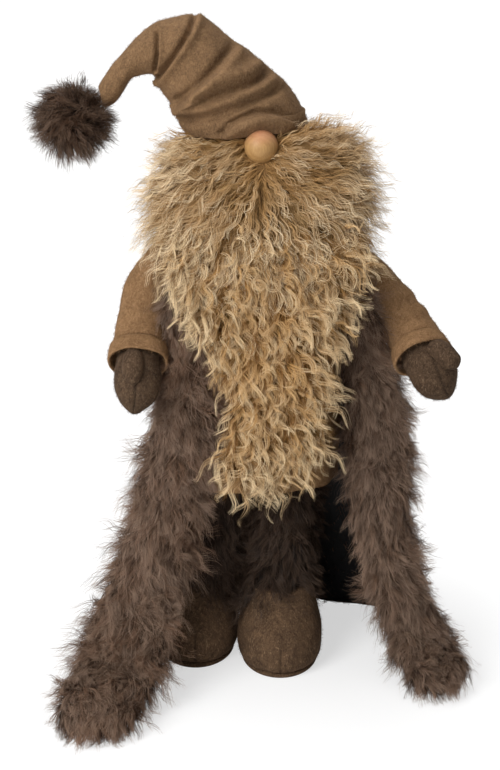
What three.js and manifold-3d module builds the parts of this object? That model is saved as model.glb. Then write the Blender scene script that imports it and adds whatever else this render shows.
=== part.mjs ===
// A standing stuffed gnome with a felt hat and its pom-pom, a wooden nose, a curly beard,
// felt arms and boots, and a long pile coat that trails on the floor.
// Millimetres, +Z up, +X to the viewer's right, the front towards -Y.
// The origin is the middle of the footprint, on the floor.
import * as THREE from "three";
import { mergeVertices } from "three/addons/utils/BufferGeometryUtils.js";
import Module from "manifold-3d";

const wasm = await Module();
wasm.setup();

const at = (x, y, z) => new THREE.Vector3(x, y, z);
const ACROSS = at(1, 0, 0);
const BACK = at(0, 1, 0);
const UP = at(0, 0, 1);

// Cloth and clearances
const FIT = 0.3;
const FELT = 3;
const LINING = 1.6;

// Boots: felt uppers on felt soles, with an insole board and a weight bag in the toe
const BOOT_LENGTH = 126;
const BOOT_WIDTH = 92;
const BOOT_HEIGHT = 80;
const SOLE = 4;
const SOLE_RIM = 1.5;
const INSOLE = 3;
const INSOLE_MARGIN = 6;
const ANKLE_FROM_TOE = 83;
const BAG_HEIGHT = 30;
const BAG_HALF_WIDTH = 29;
const BAG_HALF_LENGTH = 25;
const BAG_FROM_TOE = 42;
const LEFT_TOE = at(-60, -56, 0);
const RIGHT_TOE = at(33, -80, 0);

// Legs: pile trousers round a dowel that stands on the insole board
const DOWEL_RADIUS = 6;
const DOWEL_TOP = 300;
const DOWEL_TILT_ROOM = 0.6;
const TROUSER_HEM = 64;
const TROUSER_WIDE = 43;
const TROUSER_HEM_WIDE = 42;
const TROUSER_DEEP = 40;
const HIP_WIDE = 40;
const HIP_DEEP = 36;
const LEFT_HIP = at(-38, 18, 0);
const RIGHT_HIP = at(47, 12, 0);

// Torso: a felt tunic over stuffing, from its hem to the neck
const TUNIC_HEM = 205;
const TORSO_BASE = 216;
const SHOULDER_HEIGHT = 434;
const NECK_HEIGHT = 462;
const HEM_BODY = { at: at(4, 15, TUNIC_HEM), wide: 92, deep: 68 };
const WAIST_BODY = { at: at(9, 12, 270), wide: 90, deep: 64 };
const CHEST_BODY = { at: at(14, 9, 350), wide: 86, deep: 60 };
const SHOULDER_BODY = { at: at(17, 5, SHOULDER_HEIGHT), wide: 96, deep: 50 };
const NECK_BODY = { at: at(16, 3, NECK_HEIGHT), wide: 46, deep: 40 };

// Head, nose and hair, with heights above the neck
const HEAD_RISE = 74;
const NOSE_RISE = 42;
const HEAD_HEIGHT = NECK_HEIGHT + HEAD_RISE;
const HEAD = { at: at(8, 2, HEAD_HEIGHT), wide: 64, deep: 60, tall: 80 };
const NOSE_RADIUS = 17;
const NOSE_CENTRE = at(11, -62, HEAD_HEIGHT + NOSE_RISE);
const HAIR_X = 12;
const HAIR_SEAM_Y = 6;
const HAIR_LEVELS = [
  { z: HEAD_HEIGHT - 66, wide: 92, front: -98, back: 58 },
  { z: HEAD_HEIGHT - 31, wide: 108, front: -102, back: 76 },
  { z: HEAD_HEIGHT + 4, wide: 110, front: -94, back: 82 },
  { z: HEAD_HEIGHT + 34, wide: 100, front: -72, back: 78 },
  { z: HEAD_HEIGHT + 58, wide: 74, front: -66, back: 68 },
];
const HAIR_DOME = 8;

// Beard: a flap of pile that hinges under the nose
const BEARD_Y = -86;
const BEARD_HINGE_DROP = 60;
const BEARD_HINGE_HEIGHT = HEAD_HEIGHT - BEARD_HINGE_DROP;
const BEARD_LIFT = 45;
const BEARD_CLEARANCE = 4;
const BEARD_ROLL_CLEARANCE = 0.8;
const BEARD_LEVELS = [
  { x: 14, z: BEARD_HINGE_HEIGHT, wide: 96, deep: 24 },
  { x: 16, z: 430, wide: 88, deep: 27 },
  { x: 23, z: 378, wide: 72, deep: 27 },
  { x: 28, z: 325, wide: 60, deep: 25 },
  { x: 22, z: 271, wide: 50, deep: 22 },
  { x: 8, z: 235, wide: 34, deep: 17 },
  { x: 0, z: 214, wide: 16, deep: 11 },
];
const BEARD_TIP_DOME = 6;

// Hat: a cone that leans over, then bends down at a crease to a thin tip with a pom-pom
const HAT_Y = -2;
const HAT_RISE = 52;
const HAT_HEIGHT = HEAD_HEIGHT + HAT_RISE;
const CREASE = at(-77, HAT_Y, HAT_HEIGHT + 82);
const CROWN_STATIONS = [
  { at: at(-3, HAT_Y, HAT_HEIGHT), wide: 63, deep: 62, lean: 0 },
  { at: at(-11, HAT_Y, HAT_HEIGHT + 18), wide: 60, deep: 60, lean: 1 },
  { at: at(-24, HAT_Y, HAT_HEIGHT + 36), wide: 54, deep: 57, lean: 6 },
  { at: at(-38, HAT_Y, HAT_HEIGHT + 51), wide: 48, deep: 52, lean: 17 },
  { at: at(-56, HAT_Y, HAT_HEIGHT + 67), wide: 42, deep: 45, lean: 30 },
  { at: CREASE, wide: 36, deep: 37, lean: 54 },
];
const CREASE_RADIUS = 28;
const TIP_END_RADIUS = 12;
const TIP_END = at(-151, HAT_Y, HAT_HEIGHT + 31);
const TIP_STATIONS = [
  { at: CREASE, wide: CREASE_RADIUS, deep: CREASE_RADIUS, lean: 54 },
  { at: at(-100, HAT_Y, HAT_HEIGHT + 76), wide: 25, deep: 26, lean: 95 },
  { at: at(-122, HAT_Y, HAT_HEIGHT + 61), wide: 19.5, deep: 19.5, lean: 132 },
  { at: at(-137, HAT_Y, HAT_HEIGHT + 45), wide: 15, deep: 15, lean: 135 },
  { at: TIP_END, wide: TIP_END_RADIUS, deep: TIP_END_RADIUS, lean: 135 },
];
const TIP_BEND = [-15, 0, 35];
const TIP_CLEARANCE = 1.2;
const TIP_OVERRUN = 2;
const STUFFING_SHORT = 8;
const TIP_WIRE_RADIUS = 1.5;
const TIP_WIRE_SHARE = 0.9;
const WIRE_SLACK = 0.8;
const POMPOM_CENTRE = at(-182, HAT_Y, HAT_HEIGHT + 9);
const POMPOM_RADIUS = 38;
const POMPOM_SWING = [-25, 0, 25];

// Arms: stuffed felt sleeves with a turned-up cuff, mittens with a thumb, and a wire through both
const ARM_LIFT = [0, 27, 55];
const ARM_CLEARANCE = 2;
const SHOULDER_BALL = 25;
const SHOULDER_CLEARANCE = 0.9;
const SLEEVE_LENGTH = 104;
const SLEEVE_MIDDLE_WIDE = 29;
const SLEEVE_WIDE = 30;
const SLEEVE_DEEP = 27;
const CUFF_HEIGHT = 22;
const MITTEN_LENGTH = 52;
const MITTEN_WIDE = 26;
const MITTEN_DEEP = 19;
const MITTEN_WRIST = 22;
const FINGERS_WIDE = 24;
const FINGERS_DEEP = 17;
const PALM_SHARE = 0.35;
const FINGERS_SHARE = 0.72;
const THUMB_LENGTH = 30;
const THUMB_SHARE = 0.2;
const THUMB_RADIUS = 9;
const ARM_WIRE_RADIUS = 1.5;
const ARM_WIRE_LENGTH = 139;
const LEFT_ARM = {
  shoulder: at(-93, -12, 440),
  along: at(-0.214, -0.563, -0.798),
  thumb: at(0.35, -1, 0),
  outward: 1,
};
const RIGHT_ARM = {
  shoulder: at(125, -12, 436),
  along: at(0.5, -0.51, -0.7),
  thumb: at(1, -0.5, 0),
  outward: -1,
};

// Coat: a lined back that flares to the floor, and two fronts whose ends trail on it
const COAT_PILE = 20;
const COAT_TOP = 454;
const COAT_SLACK = 0.6;
const COAT_HEM_WIDE = 178;
const COAT_HEM_DEEP = 134;
const LEFT_TRAIN_REACH = 214;
const RIGHT_TRAIN_REACH = 120;
const COAT_LEVELS = [
  { x: 24, y: 6, z: 385, wide: 102, deep: 64 },
  { x: 30, y: 6, z: 280, wide: 120, deep: 77 },
  { x: 24, y: 6, z: 140, wide: 141, deep: 106 },
  { x: 22, y: 6, z: 0, wide: COAT_HEM_WIDE, deep: COAT_HEM_DEEP },
];
const COAT_TOP_REACH = 76;
const COAT_SIDE_REACH_LEFT = 114;
const COAT_SIDE_REACH_RIGHT = 110;
const ARMHOLE_TOP_SHARE = 0.36;
const ARMHOLE_FOOT_SHARE = 0.64;
const LINING_HEM = 4;
const COAT_FOLDS = 7;
const COAT_FOLD_DEPTH = 8;
const TRAIN_SPLIT = 280;
const TRAIN_FOLDS = 5;
const TRAIN_FOLD_DEPTH = 2.5;
const TRAIN_END_DOME = 12;
const TRAIN_SWING = 15;
const LEFT_TRAIN_PIVOT = at(-100, -25, 0);
const RIGHT_TRAIN_PIVOT = at(165, -25, 0);
const LEFT_FRONT = [
  { at: at(-50, 16, 451), wide: 11, deep: 7 },
  { at: at(-54, -14, 453), wide: 12, deep: 7 },
  { at: at(-60, -36, 440), wide: 15, deep: 8 },
  { at: at(-66, -46, 400), wide: 24, deep: 11 },
  { at: at(-67, -47, 340), wide: 31, deep: 14 },
  { at: at(-71, -48, TRAIN_SPLIT), wide: 36, deep: 18 },
  { at: at(-78, -52, 225), wide: 39, deep: 21 },
  { at: at(-91, -60, 156), wide: 44, deep: 23 },
  { at: at(-106, -84, 98), wide: 47, deep: 23 },
  { at: at(-124, -0.523 * LEFT_TRAIN_REACH, 56), wide: 50, deep: 24 },
  { at: at(-141, -0.701 * LEFT_TRAIN_REACH, 31), wide: 52, deep: 24 },
  { at: at(-154, -0.879 * LEFT_TRAIN_REACH, 22), wide: 49, deep: 23 },
  { at: at(-160, -LEFT_TRAIN_REACH, 18), wide: 40, deep: 19 },
];
const RIGHT_FRONT = [
  { at: at(85, 16, 453), wide: 11, deep: 7 },
  { at: at(89, -14, 455), wide: 12, deep: 7 },
  { at: at(97, -36, 443), wide: 15, deep: 8 },
  { at: at(113, -46, 402), wide: 24, deep: 11 },
  { at: at(124, -45, 340), wide: 31, deep: 14 },
  { at: at(135, -42, TRAIN_SPLIT), wide: 36, deep: 18 },
  { at: at(134, -43, 225), wide: 38, deep: 21 },
  { at: at(140, -48, 152), wide: 41, deep: 22 },
  { at: at(153, -54, 94), wide: 44, deep: 23 },
  { at: at(176, -0.517 * RIGHT_TRAIN_REACH, 52), wide: 46, deep: 23 },
  { at: at(194, -0.733 * RIGHT_TRAIN_REACH, 28), wide: 46, deep: 23 },
  { at: at(203, -RIGHT_TRAIN_REACH, 19), wide: 42, deep: 21 },
];

// Colours and finishes
function finish(color, roughness, metalness = 0) {
  return new THREE.MeshStandardMaterial({ color, roughness, metalness });
}
const HAT_FELT = finish(0x73604a, 0.95);
const SLEEVE_FELT = finish(0x826446, 0.95);
const MITTEN_FELT = finish(0x554434, 0.95);
const BOOT_FELT = finish(0x5a4634, 0.95);
const COAT_FUR = finish(0x5f4e41, 0.9);
const POMPOM_FUR = finish(0x4b3e34, 0.9);
const BEARD_FUR = finish(0xc8a678, 0.85);
const SATIN = finish(0x111012, 0.35);
const STUFFING = finish(0xe6e2d8, 1);
const CALICO = finish(0xd8cdb4, 0.95);
const WOOD = finish(0xc8a06e, 0.45);
const BOARD = finish(0x9a7b54, 0.8);
const STEEL = finish(0x9a9a9c, 0.35, 1);

// A closed body from corner points and triangles, turned right side out
function closedBody(points, index) {
  let volume = 0;
  for (let i = 0; i < index.length; i += 3) {
    const [a, b, c] = [points[index[i]], points[index[i + 1]], points[index[i + 2]]];
    volume += a.dot(b.clone().cross(c));
  }
  const geometry = new THREE.BufferGeometry().setFromPoints(points);
  geometry.setIndex(volume < 0 ? index.reverse() : index);
  return geometry;
}

// A body through rings of points with the same count, its two ends closed flat
function loft(rings) {
  const count = rings[0].length;
  const points = rings.flat();
  const index = [];
  for (let r = 0; r < rings.length - 1; r += 1) {
    for (let i = 0; i < count; i += 1) {
      const a = r * count + i;
      const b = r * count + ((i + 1) % count);
      index.push(a, b, b + count, a, b + count, a + count);
    }
  }
  const last = (rings.length - 1) * count;
  for (let i = 1; i < count - 1; i += 1) {
    index.push(0, i + 1, i, last, last + i, last + i + 1);
  }
  return closedBody(points, index);
}

// A stuffed form that swells and tapers along a spine of stations. Each ring is square to the
// spine, or to the given normal, or leans from upright towards -X where the stations say so.
// The ends are domed or run straight past.
const DOME_ANGLES = [35, 70].map(THREE.MathUtils.degToRad);
function stuffed(stations, { side, normal, rings, count, domes = [0, 0], past = [0, 0], grow = 0, folds }) {
  const spine = new THREE.CatmullRomCurve3(stations.map((station) => station.at));
  const sizePoints = stations.map(({ wide, deep, lean = 0 }) => at(wide, deep, lean));
  const sizes = new THREE.CatmullRomCurve3(sizePoints);
  const leans = stations[0].lean !== undefined;
  const body = [];
  const addRing = (t, shift, shrink) => {
    const size = sizes.getPoint(t);
    const lean = THREE.MathUtils.degToRad(size.z);
    const facing = leans ? at(-Math.sin(lean), 0, Math.cos(lean)) : normal ?? spine.getTangent(t);
    const across = side.clone().addScaledVector(facing, -side.dot(facing)).normalize();
    const other = facing.clone().cross(across);
    const centre = spine.getPoint(t).addScaledVector(facing, shift);
    const ring = [];
    for (let i = 0; i < count; i += 1) {
      const angle = (2 * Math.PI * i) / count;
      const swell = grow + (folds ? folds(angle, t) : 0);
      const u = Math.cos(angle) * (size.x + swell) * shrink;
      const v = Math.sin(angle) * (size.y + swell) * shrink;
      ring.push(centre.clone().addScaledVector(across, u).addScaledVector(other, v));
    }
    body.push(ring);
  };
  const addEnd = (t, outward, dome, run) => {
    const angles = outward < 0 ? [...DOME_ANGLES].reverse() : DOME_ANGLES;
    if (dome > 0) {
      angles.forEach((angle) => addRing(t, outward * (dome + grow) * Math.sin(angle), Math.cos(angle)));
    } else if (run + grow > 0) {
      addRing(t, outward * (run + grow), 1);
    }
  };
  addEnd(0, -1, domes[0], past[0]);
  for (let r = 0; r <= rings; r += 1) addRing(r / rings, 0, 1);
  addEnd(1, 1, domes[1], past[1]);
  return loft(body);
}

// A curved slab between an inner and an outer sheet, both given over u and v from 0 to 1
function slab(sheet, across, down) {
  const points = [];
  const index = [];
  const corner = (i, j, k) => (k * (down + 1) + j) * (across + 1) + i;
  for (const k of [0, 1]) {
    for (let j = 0; j <= down; j += 1) {
      for (let i = 0; i <= across; i += 1) points.push(sheet(i / across, j / down, k));
    }
  }
  const quad = (a, b, c, d) => index.push(a, b, c, a, c, d);
  for (let j = 0; j < down; j += 1) {
    for (let i = 0; i < across; i += 1) {
      quad(corner(i, j, 1), corner(i + 1, j, 1), corner(i + 1, j + 1, 1), corner(i, j + 1, 1));
      quad(corner(i, j, 0), corner(i, j + 1, 0), corner(i + 1, j + 1, 0), corner(i + 1, j, 0));
    }
  }
  for (let i = 0; i < across; i += 1) {
    quad(corner(i, 0, 0), corner(i + 1, 0, 0), corner(i + 1, 0, 1), corner(i, 0, 1));
    quad(corner(i, down, 1), corner(i + 1, down, 1), corner(i + 1, down, 0), corner(i, down, 0));
  }
  for (let j = 0; j < down; j += 1) {
    quad(corner(0, j, 0), corner(0, j, 1), corner(0, j + 1, 1), corner(0, j + 1, 0));
    quad(corner(across, j, 1), corner(across, j, 0), corner(across, j + 1, 0), corner(across, j + 1, 1));
  }
  return closedBody(points, index);
}

// Cutting and keeping, with solids made from the geometries
function solidOf(geometry) {
  const bare = geometry.clone();
  bare.deleteAttribute("normal");
  bare.deleteAttribute("uv");
  const merged = mergeVertices(bare, 1e-4);
  const vertProperties = Float32Array.from(merged.attributes.position.array);
  const triVerts = Uint32Array.from(merged.index.array);
  return new wasm.Manifold(new wasm.Mesh({ numProp: 3, vertProperties, triVerts }));
}

function geometryOf(solid) {
  const mesh = solid.getMesh();
  const geometry = new THREE.BufferGeometry();
  geometry.setAttribute("position", new THREE.BufferAttribute(mesh.vertProperties, 3));
  geometry.setIndex(new THREE.BufferAttribute(mesh.triVerts, 1));
  return geometry;
}

function cut(geometry, ...tools) {
  return geometryOf(tools.reduce((solid, tool) => solid.subtract(solidOf(tool)), solidOf(geometry)));
}

const REACH = 2000;
function keepBox(geometry, x, y, z) {
  const room = new THREE.BoxGeometry(REACH, REACH, REACH).translate(x, y, z);
  return geometryOf(solidOf(geometry).intersect(solidOf(room)));
}
const keepAbove = (geometry, height) => keepBox(geometry, 0, 0, height + REACH / 2);
const keepBelow = (geometry, height) => keepBox(geometry, 0, 0, height - REACH / 2);
const keepBehind = (geometry, y) => keepBox(geometry, 0, y + REACH / 2, 0);
const keepBefore = (geometry, y) => keepBox(geometry, 0, y - REACH / 2, 0);

// Copies of a geometry turned about an axis through a pivot, one for each angle in degrees
function turned(geometry, pivot, axis, angles) {
  return angles.map((degrees) => {
    const turn = new THREE.Matrix4().makeRotationAxis(axis, THREE.MathUtils.degToRad(degrees));
    const move = new THREE.Matrix4().makeTranslation(pivot);
    const back = new THREE.Matrix4().makeTranslation(pivot.clone().negate());
    return geometry.clone().applyMatrix4(move.multiply(turn).multiply(back));
  });
}

// A straight round rod from one point to another
function rod(from, to, radius, sides) {
  const reach = to.clone().sub(from);
  const geometry = new THREE.CylinderGeometry(radius, radius, reach.length(), sides);
  geometry.applyQuaternion(new THREE.Quaternion().setFromUnitVectors(BACK, reach.clone().normalize()));
  return geometry.translate(...from.clone().lerp(to, 0.5).toArray());
}

function ellipsoid({ at: centre, wide, deep, tall }, grow, sides, rows) {
  const geometry = new THREE.SphereGeometry(1, sides, rows).rotateX(Math.PI / 2);
  return geometry.scale(wide + grow, deep + grow, tall + grow).translate(...centre.toArray());
}

const figure = new THREE.Group();
function addPiece(name, geometry, material) {
  geometry.computeVertexNormals();
  const mesh = new THREE.Mesh(geometry, material);
  mesh.name = name;
  figure.add(mesh);
}

// Boots. Each level of the upper gives its rise, how far toe and heel are drawn in, and its half width,
// as shares of the height, length and width.
const BOOT_SHAPE = [
  { rise: 0, toe: 0.045, heel: 0.03, half: 0.46 },
  { rise: 0.14, toe: 0, heel: 0, half: 0.5 },
  { rise: 0.4, toe: 0.035, heel: 0, half: 0.5 },
  { rise: 0.68, toe: 0.18, heel: 0.02, half: 0.46 },
  { rise: 1, toe: 0.36, heel: 0.04, half: 0.42 },
];
const BOOT_BASE = SOLE + FIT;
const INSOLE_TOP = BOOT_BASE + INSOLE;

function bootStation(toe, level, height) {
  const front = toe.y + level.toe * BOOT_LENGTH;
  const heel = toe.y + (1 - level.heel) * BOOT_LENGTH;
  const centre = at(toe.x, (front + heel) / 2, height);
  return { at: centre, wide: level.half * BOOT_WIDTH, deep: (heel - front) / 2 };
}

function bootForm(toe, grow) {
  const rise = BOOT_HEIGHT - BOOT_BASE;
  const stations = BOOT_SHAPE.map((level) => bootStation(toe, level, BOOT_BASE + level.rise * rise));
  return stuffed(stations, { side: ACROSS, normal: UP, rings: 5, count: 16, grow });
}

function soleSlab(toe, base, top, grow) {
  const stations = [base, top].map((height) => bootStation(toe, BOOT_SHAPE[0], height));
  stations.forEach((station) => {
    station.wide += grow;
    station.deep += grow;
  });
  return stuffed(stations, { side: ACROSS, normal: UP, rings: 1, count: 16 });
}

function bagForm(toe, grow) {
  const base = INSOLE_TOP + FIT;
  const y = toe.y + BAG_FROM_TOE;
  const shape = [[0, 0.86], [0.35, 1], [0.75, 0.84], [1, 0.4]];
  const stations = shape.map(([rise, swell]) => ({
    at: at(toe.x, y, base + rise * BAG_HEIGHT),
    wide: swell * BAG_HALF_WIDTH,
    deep: swell * BAG_HALF_LENGTH,
  }));
  return stuffed(stations, { side: ACROSS, normal: UP, rings: 3, count: 12, grow });
}

// The leg's line runs from the ankle, over the insole board, up to the hip
function legLine(toe, hip) {
  const ankle = at(toe.x, toe.y + ANKLE_FROM_TOE, 0);
  return (height) => ankle.clone().lerp(at(hip.x, hip.y, 0), height / TORSO_BASE).setZ(height);
}

function dowelForm(toe, hip, grow) {
  const line = legLine(toe, hip);
  const foot = INSOLE_TOP + FIT + DOWEL_TILT_ROOM;
  return rod(line(foot - grow), line(DOWEL_TOP + grow), DOWEL_RADIUS + grow, 12);
}

function legForm(toe, hip) {
  const line = legLine(toe, hip);
  const middle = (TROUSER_HEM + TORSO_BASE) / 2;
  const stations = [
    { at: line(TROUSER_HEM), wide: TROUSER_HEM_WIDE, deep: TROUSER_DEEP },
    { at: line(middle), wide: TROUSER_WIDE, deep: TROUSER_DEEP },
    { at: line(TORSO_BASE - FIT), wide: HIP_WIDE, deep: HIP_DEEP },
  ];
  return stuffed(stations, { side: ACROSS, normal: UP, rings: 4, count: 16 });
}

for (const [side, toe, hip] of [["left", LEFT_TOE, LEFT_HIP], ["right", RIGHT_TOE, RIGHT_HIP]]) {
  const board = soleSlab(toe, BOOT_BASE, INSOLE_TOP, -INSOLE_MARGIN);
  const boardRoom = soleSlab(toe, BOOT_BASE - FELT, INSOLE_TOP + FIT, FIT - INSOLE_MARGIN);
  const dowelRoom = dowelForm(toe, hip, FIT);
  addPiece(`boot_sole_${side}`, soleSlab(toe, 0, SOLE, SOLE_RIM), BOOT_FELT);
  addPiece(`insole_board_${side}`, board, BOARD);
  addPiece(`weight_bag_${side}`, cut(bagForm(toe, 0), dowelRoom), CALICO);
  addPiece(`boot_${side}`, cut(bootForm(toe, 0), boardRoom, bagForm(toe, FIT), dowelRoom), BOOT_FELT);
  addPiece(`leg_dowel_${side}`, dowelForm(toe, hip, 0), WOOD);
  addPiece(`trouser_leg_${side}`, cut(legForm(toe, hip), bootForm(toe, FIT), dowelRoom), COAT_FUR);
}

// Torso and tunic
const BODY_STATIONS = [HEM_BODY, WAIST_BODY, CHEST_BODY, SHOULDER_BODY, NECK_BODY];
function bodyForm(grow, past = [0, 0]) {
  return stuffed(BODY_STATIONS, { side: ACROSS, normal: UP, rings: 7, count: 20, grow, past });
}

// Arms, along a straight line from the shoulder
function armPoint(arm, distance) {
  return arm.shoulder.clone().addScaledVector(arm.along.clone().normalize(), distance);
}

function sleeveForm(arm, grow) {
  const stations = [
    { at: armPoint(arm, 0), wide: SHOULDER_BALL, deep: SHOULDER_BALL },
    { at: armPoint(arm, SLEEVE_LENGTH / 2), wide: SLEEVE_MIDDLE_WIDE, deep: SLEEVE_DEEP },
    { at: armPoint(arm, SLEEVE_LENGTH), wide: SLEEVE_WIDE, deep: SLEEVE_DEEP },
  ];
  return stuffed(stations, { side: ACROSS, rings: 3, count: 14, domes: [SHOULDER_BALL, 0], grow });
}

function cuffForm(arm, grow) {
  const stations = [SLEEVE_LENGTH - CUFF_HEIGHT, SLEEVE_LENGTH].map((distance) => ({
    at: armPoint(arm, distance),
    wide: SLEEVE_WIDE + FIT + FELT,
    deep: SLEEVE_DEEP + FIT + FELT,
  }));
  return stuffed(stations, { side: ACROSS, rings: 1, count: 14, grow });
}

function mittenForm(arm, grow) {
  const along = (share) => armPoint(arm, SLEEVE_LENGTH + FIT + share * MITTEN_LENGTH);
  const stations = [
    { at: along(0), wide: MITTEN_WRIST, deep: MITTEN_WRIST },
    { at: along(PALM_SHARE), wide: MITTEN_WIDE, deep: MITTEN_DEEP },
    { at: along(FINGERS_SHARE), wide: FINGERS_WIDE, deep: FINGERS_DEEP },
  ];
  const domes = [0, MITTEN_LENGTH * (1 - FINGERS_SHARE)];
  return stuffed(stations, { side: ACROSS, rings: 3, count: 14, domes, grow });
}

function thumbForm(arm, grow) {
  const outward = arm.thumb.clone().normalize();
  const stand = Math.hypot(MITTEN_WIDE * outward.x, MITTEN_DEEP * outward.y);
  const wrist = SLEEVE_LENGTH + FIT;
  const root = armPoint(arm, wrist + MITTEN_LENGTH * THUMB_SHARE).addScaledVector(outward, stand);
  const tip = root.clone().addScaledVector(arm.along.clone().normalize(), THUMB_LENGTH - 2 * THUMB_RADIUS);
  const stations = [root, tip].map((point) => ({ at: point, wide: THUMB_RADIUS, deep: THUMB_RADIUS }));
  return stuffed(stations, { side: ACROSS, rings: 1, count: 8, domes: [THUMB_RADIUS, THUMB_RADIUS], grow });
}

const sleeveRoom = [];
const armRoom = [];
for (const [side, arm] of [["left", LEFT_ARM], ["right", RIGHT_ARM]]) {
  const wireRoom = rod(armPoint(arm, -FIT), armPoint(arm, ARM_WIRE_LENGTH + FIT), ARM_WIRE_RADIUS + FIT, 8);
  const wire = rod(armPoint(arm, 0), armPoint(arm, ARM_WIRE_LENGTH), ARM_WIRE_RADIUS, 8);
  const mitten = mittenForm(arm, 0);
  addPiece(`arm_wire_${side}`, wire, STEEL);
  addPiece(`sleeve_${side}`, cut(sleeveForm(arm, 0), wireRoom), SLEEVE_FELT);
  addPiece(`cuff_${side}`, cut(cuffForm(arm, 0), sleeveForm(arm, FIT)), SLEEVE_FELT);
  addPiece(`mitten_${side}`, cut(mitten, wireRoom), MITTEN_FELT);
  addPiece(`thumb_${side}`, cut(thumbForm(arm, 0), mittenForm(arm, FIT), cuffForm(arm, FIT)), MITTEN_FELT);
  const lifts = ARM_LIFT.map((degrees) => degrees * arm.outward);
  sleeveRoom.push(...turned(sleeveForm(arm, 2 * FIT), arm.shoulder, BACK, lifts));
  const ball = new THREE.SphereGeometry(SHOULDER_BALL + SHOULDER_CLEARANCE, 20, 14);
  sleeveRoom.push(ball.translate(...arm.shoulder.toArray()));
  for (const form of [sleeveForm, cuffForm, mittenForm, thumbForm]) {
    armRoom.push(...turned(form(arm, ARM_CLEARANCE), arm.shoulder, BACK, lifts));
  }
}

const dowelRooms = [dowelForm(LEFT_TOE, LEFT_HIP, FIT), dowelForm(RIGHT_TOE, RIGHT_HIP, FIT)];
const tunicInside = bodyForm(-FELT, [2 * FELT, 2 * FELT]);
const torso = keepAbove(bodyForm(-FELT - FIT), TORSO_BASE);
addPiece("tunic", cut(bodyForm(0), tunicInside, ...sleeveRoom), SLEEVE_FELT);
addPiece("torso_stuffing", cut(torso, ...dowelRooms, ...sleeveRoom), STUFFING);

// Beard, turned through its lift to clear the hair above it
function beardForm(grow) {
  const stations = BEARD_LEVELS.map(({ x, z, wide, deep }) => ({ at: at(x, BEARD_Y, z), wide, deep }));
  const domes = [BEARD_LEVELS[0].deep, BEARD_TIP_DOME];
  return stuffed(stations, { side: ACROSS, normal: UP.clone().negate(), rings: 8, count: 18, domes, grow });
}
const beardPivot = at(0, BEARD_Y, BEARD_HINGE_HEIGHT);
const beardLifts = [0, -BEARD_LIFT];
const beardRoom = turned(beardForm(FIT), beardPivot, ACROSS, beardLifts);
beardRoom.push(beardForm(FIT).translate(0, -BEARD_CLEARANCE, 0));
const beardTop = { at: at(BEARD_LEVELS[0].x, BEARD_Y, BEARD_HINGE_HEIGHT), wide: BEARD_LEVELS[0].wide };
const beardRoll = { ...beardTop, deep: BEARD_LEVELS[0].deep, tall: BEARD_LEVELS[0].deep };
beardRoom.push(ellipsoid(beardRoll, BEARD_ROLL_CLEARANCE, 24, 16));
addPiece("beard", beardForm(0), BEARD_FUR);

// Hat crown, its stuffing, and the tip that bends at the crease
function crownForm(grow, past = [0, 0]) {
  return stuffed(CROWN_STATIONS, { side: BACK, rings: 7, count: 18, grow, past });
}

function tipForm(grow) {
  const domes = [CREASE_RADIUS, TIP_END_RADIUS / 2];
  return stuffed(TIP_STATIONS, { side: BACK, rings: 6, count: 14, domes, grow });
}

// The wire starts at the foot of the tip, in the crease, and stops short of the thin end
const TIP_FOOT = THREE.MathUtils.degToRad(TIP_STATIONS[0].lean);
const creaseFacing = at(-Math.sin(TIP_FOOT), 0, Math.cos(TIP_FOOT));
function tipWire(radius, footReach, endShare) {
  const spine = new THREE.CatmullRomCurve3(TIP_STATIONS.map((station) => station.at));
  const foot = CREASE.clone().addScaledVector(creaseFacing, -footReach);
  const shares = [0, 0.25, 0.5, 0.75, 1].map((share) => share * endShare);
  const path = new THREE.CatmullRomCurve3([foot, ...shares.map((share) => spine.getPoint(share))]);
  const section = new THREE.Shape().absarc(0, 0, radius, 0, 2 * Math.PI);
  const along = { extrudePath: path, steps: 8, curveSegments: 4, bevelEnabled: false };
  return new THREE.ExtrudeGeometry(section, along);
}

const headForm = (grow) => ellipsoid(HEAD, grow, 16, 10);
const noseBall = (grow) => new THREE.SphereGeometry(NOSE_RADIUS + grow, 28, 18);
const noseForm = (grow) => noseBall(grow).translate(...NOSE_CENTRE.toArray());
const tipRoom = turned(tipForm(FIT), CREASE, BACK, TIP_BEND);
const crownInside = crownForm(-FELT, [2 * FELT, 2 * FELT]);
const stuffingEnd = CREASE.clone().addScaledVector(creaseFacing, REACH / 2 - STUFFING_SHORT);
const beyondCrease = new THREE.BoxGeometry(REACH, REACH, REACH).rotateY(-TIP_FOOT);
beyondCrease.translate(...stuffingEnd.toArray());
const tipBall = new THREE.SphereGeometry(CREASE_RADIUS + TIP_CLEARANCE, 24, 16);
tipBall.translate(...CREASE.toArray());
addPiece("hat_crown", cut(crownForm(0), crownInside, headForm(FIT), ...tipRoom), HAT_FELT);
const dropAngles = [TIP_BEND[0] - TIP_OVERRUN, TIP_BEND[0], TIP_BEND[0] / 2];
const tipDrop = turned(tipForm(2 * FIT), CREASE, BACK, dropAngles);
const stuffingCuts = [headForm(FIT), beyondCrease, tipBall, ...tipDrop];
addPiece("hat_stuffing", cut(crownForm(-FELT - FIT), ...stuffingCuts), STUFFING);
const tipWireRoom = tipWire(TIP_WIRE_RADIUS + WIRE_SLACK, CREASE_RADIUS + FELT, 1);
addPiece("hat_tip", cut(tipForm(0), tipWireRoom), HAT_FELT);
addPiece("hat_tip_wire", tipWire(TIP_WIRE_RADIUS, CREASE_RADIUS - FELT, TIP_WIRE_SHARE), STEEL);
const pompomForm = new THREE.SphereGeometry(POMPOM_RADIUS, 16, 10).translate(...POMPOM_CENTRE.toArray());
addPiece("pompom", cut(pompomForm, ...turned(tipForm(FIT), TIP_END, BACK, POMPOM_SWING)), POMPOM_FUR);

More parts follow.
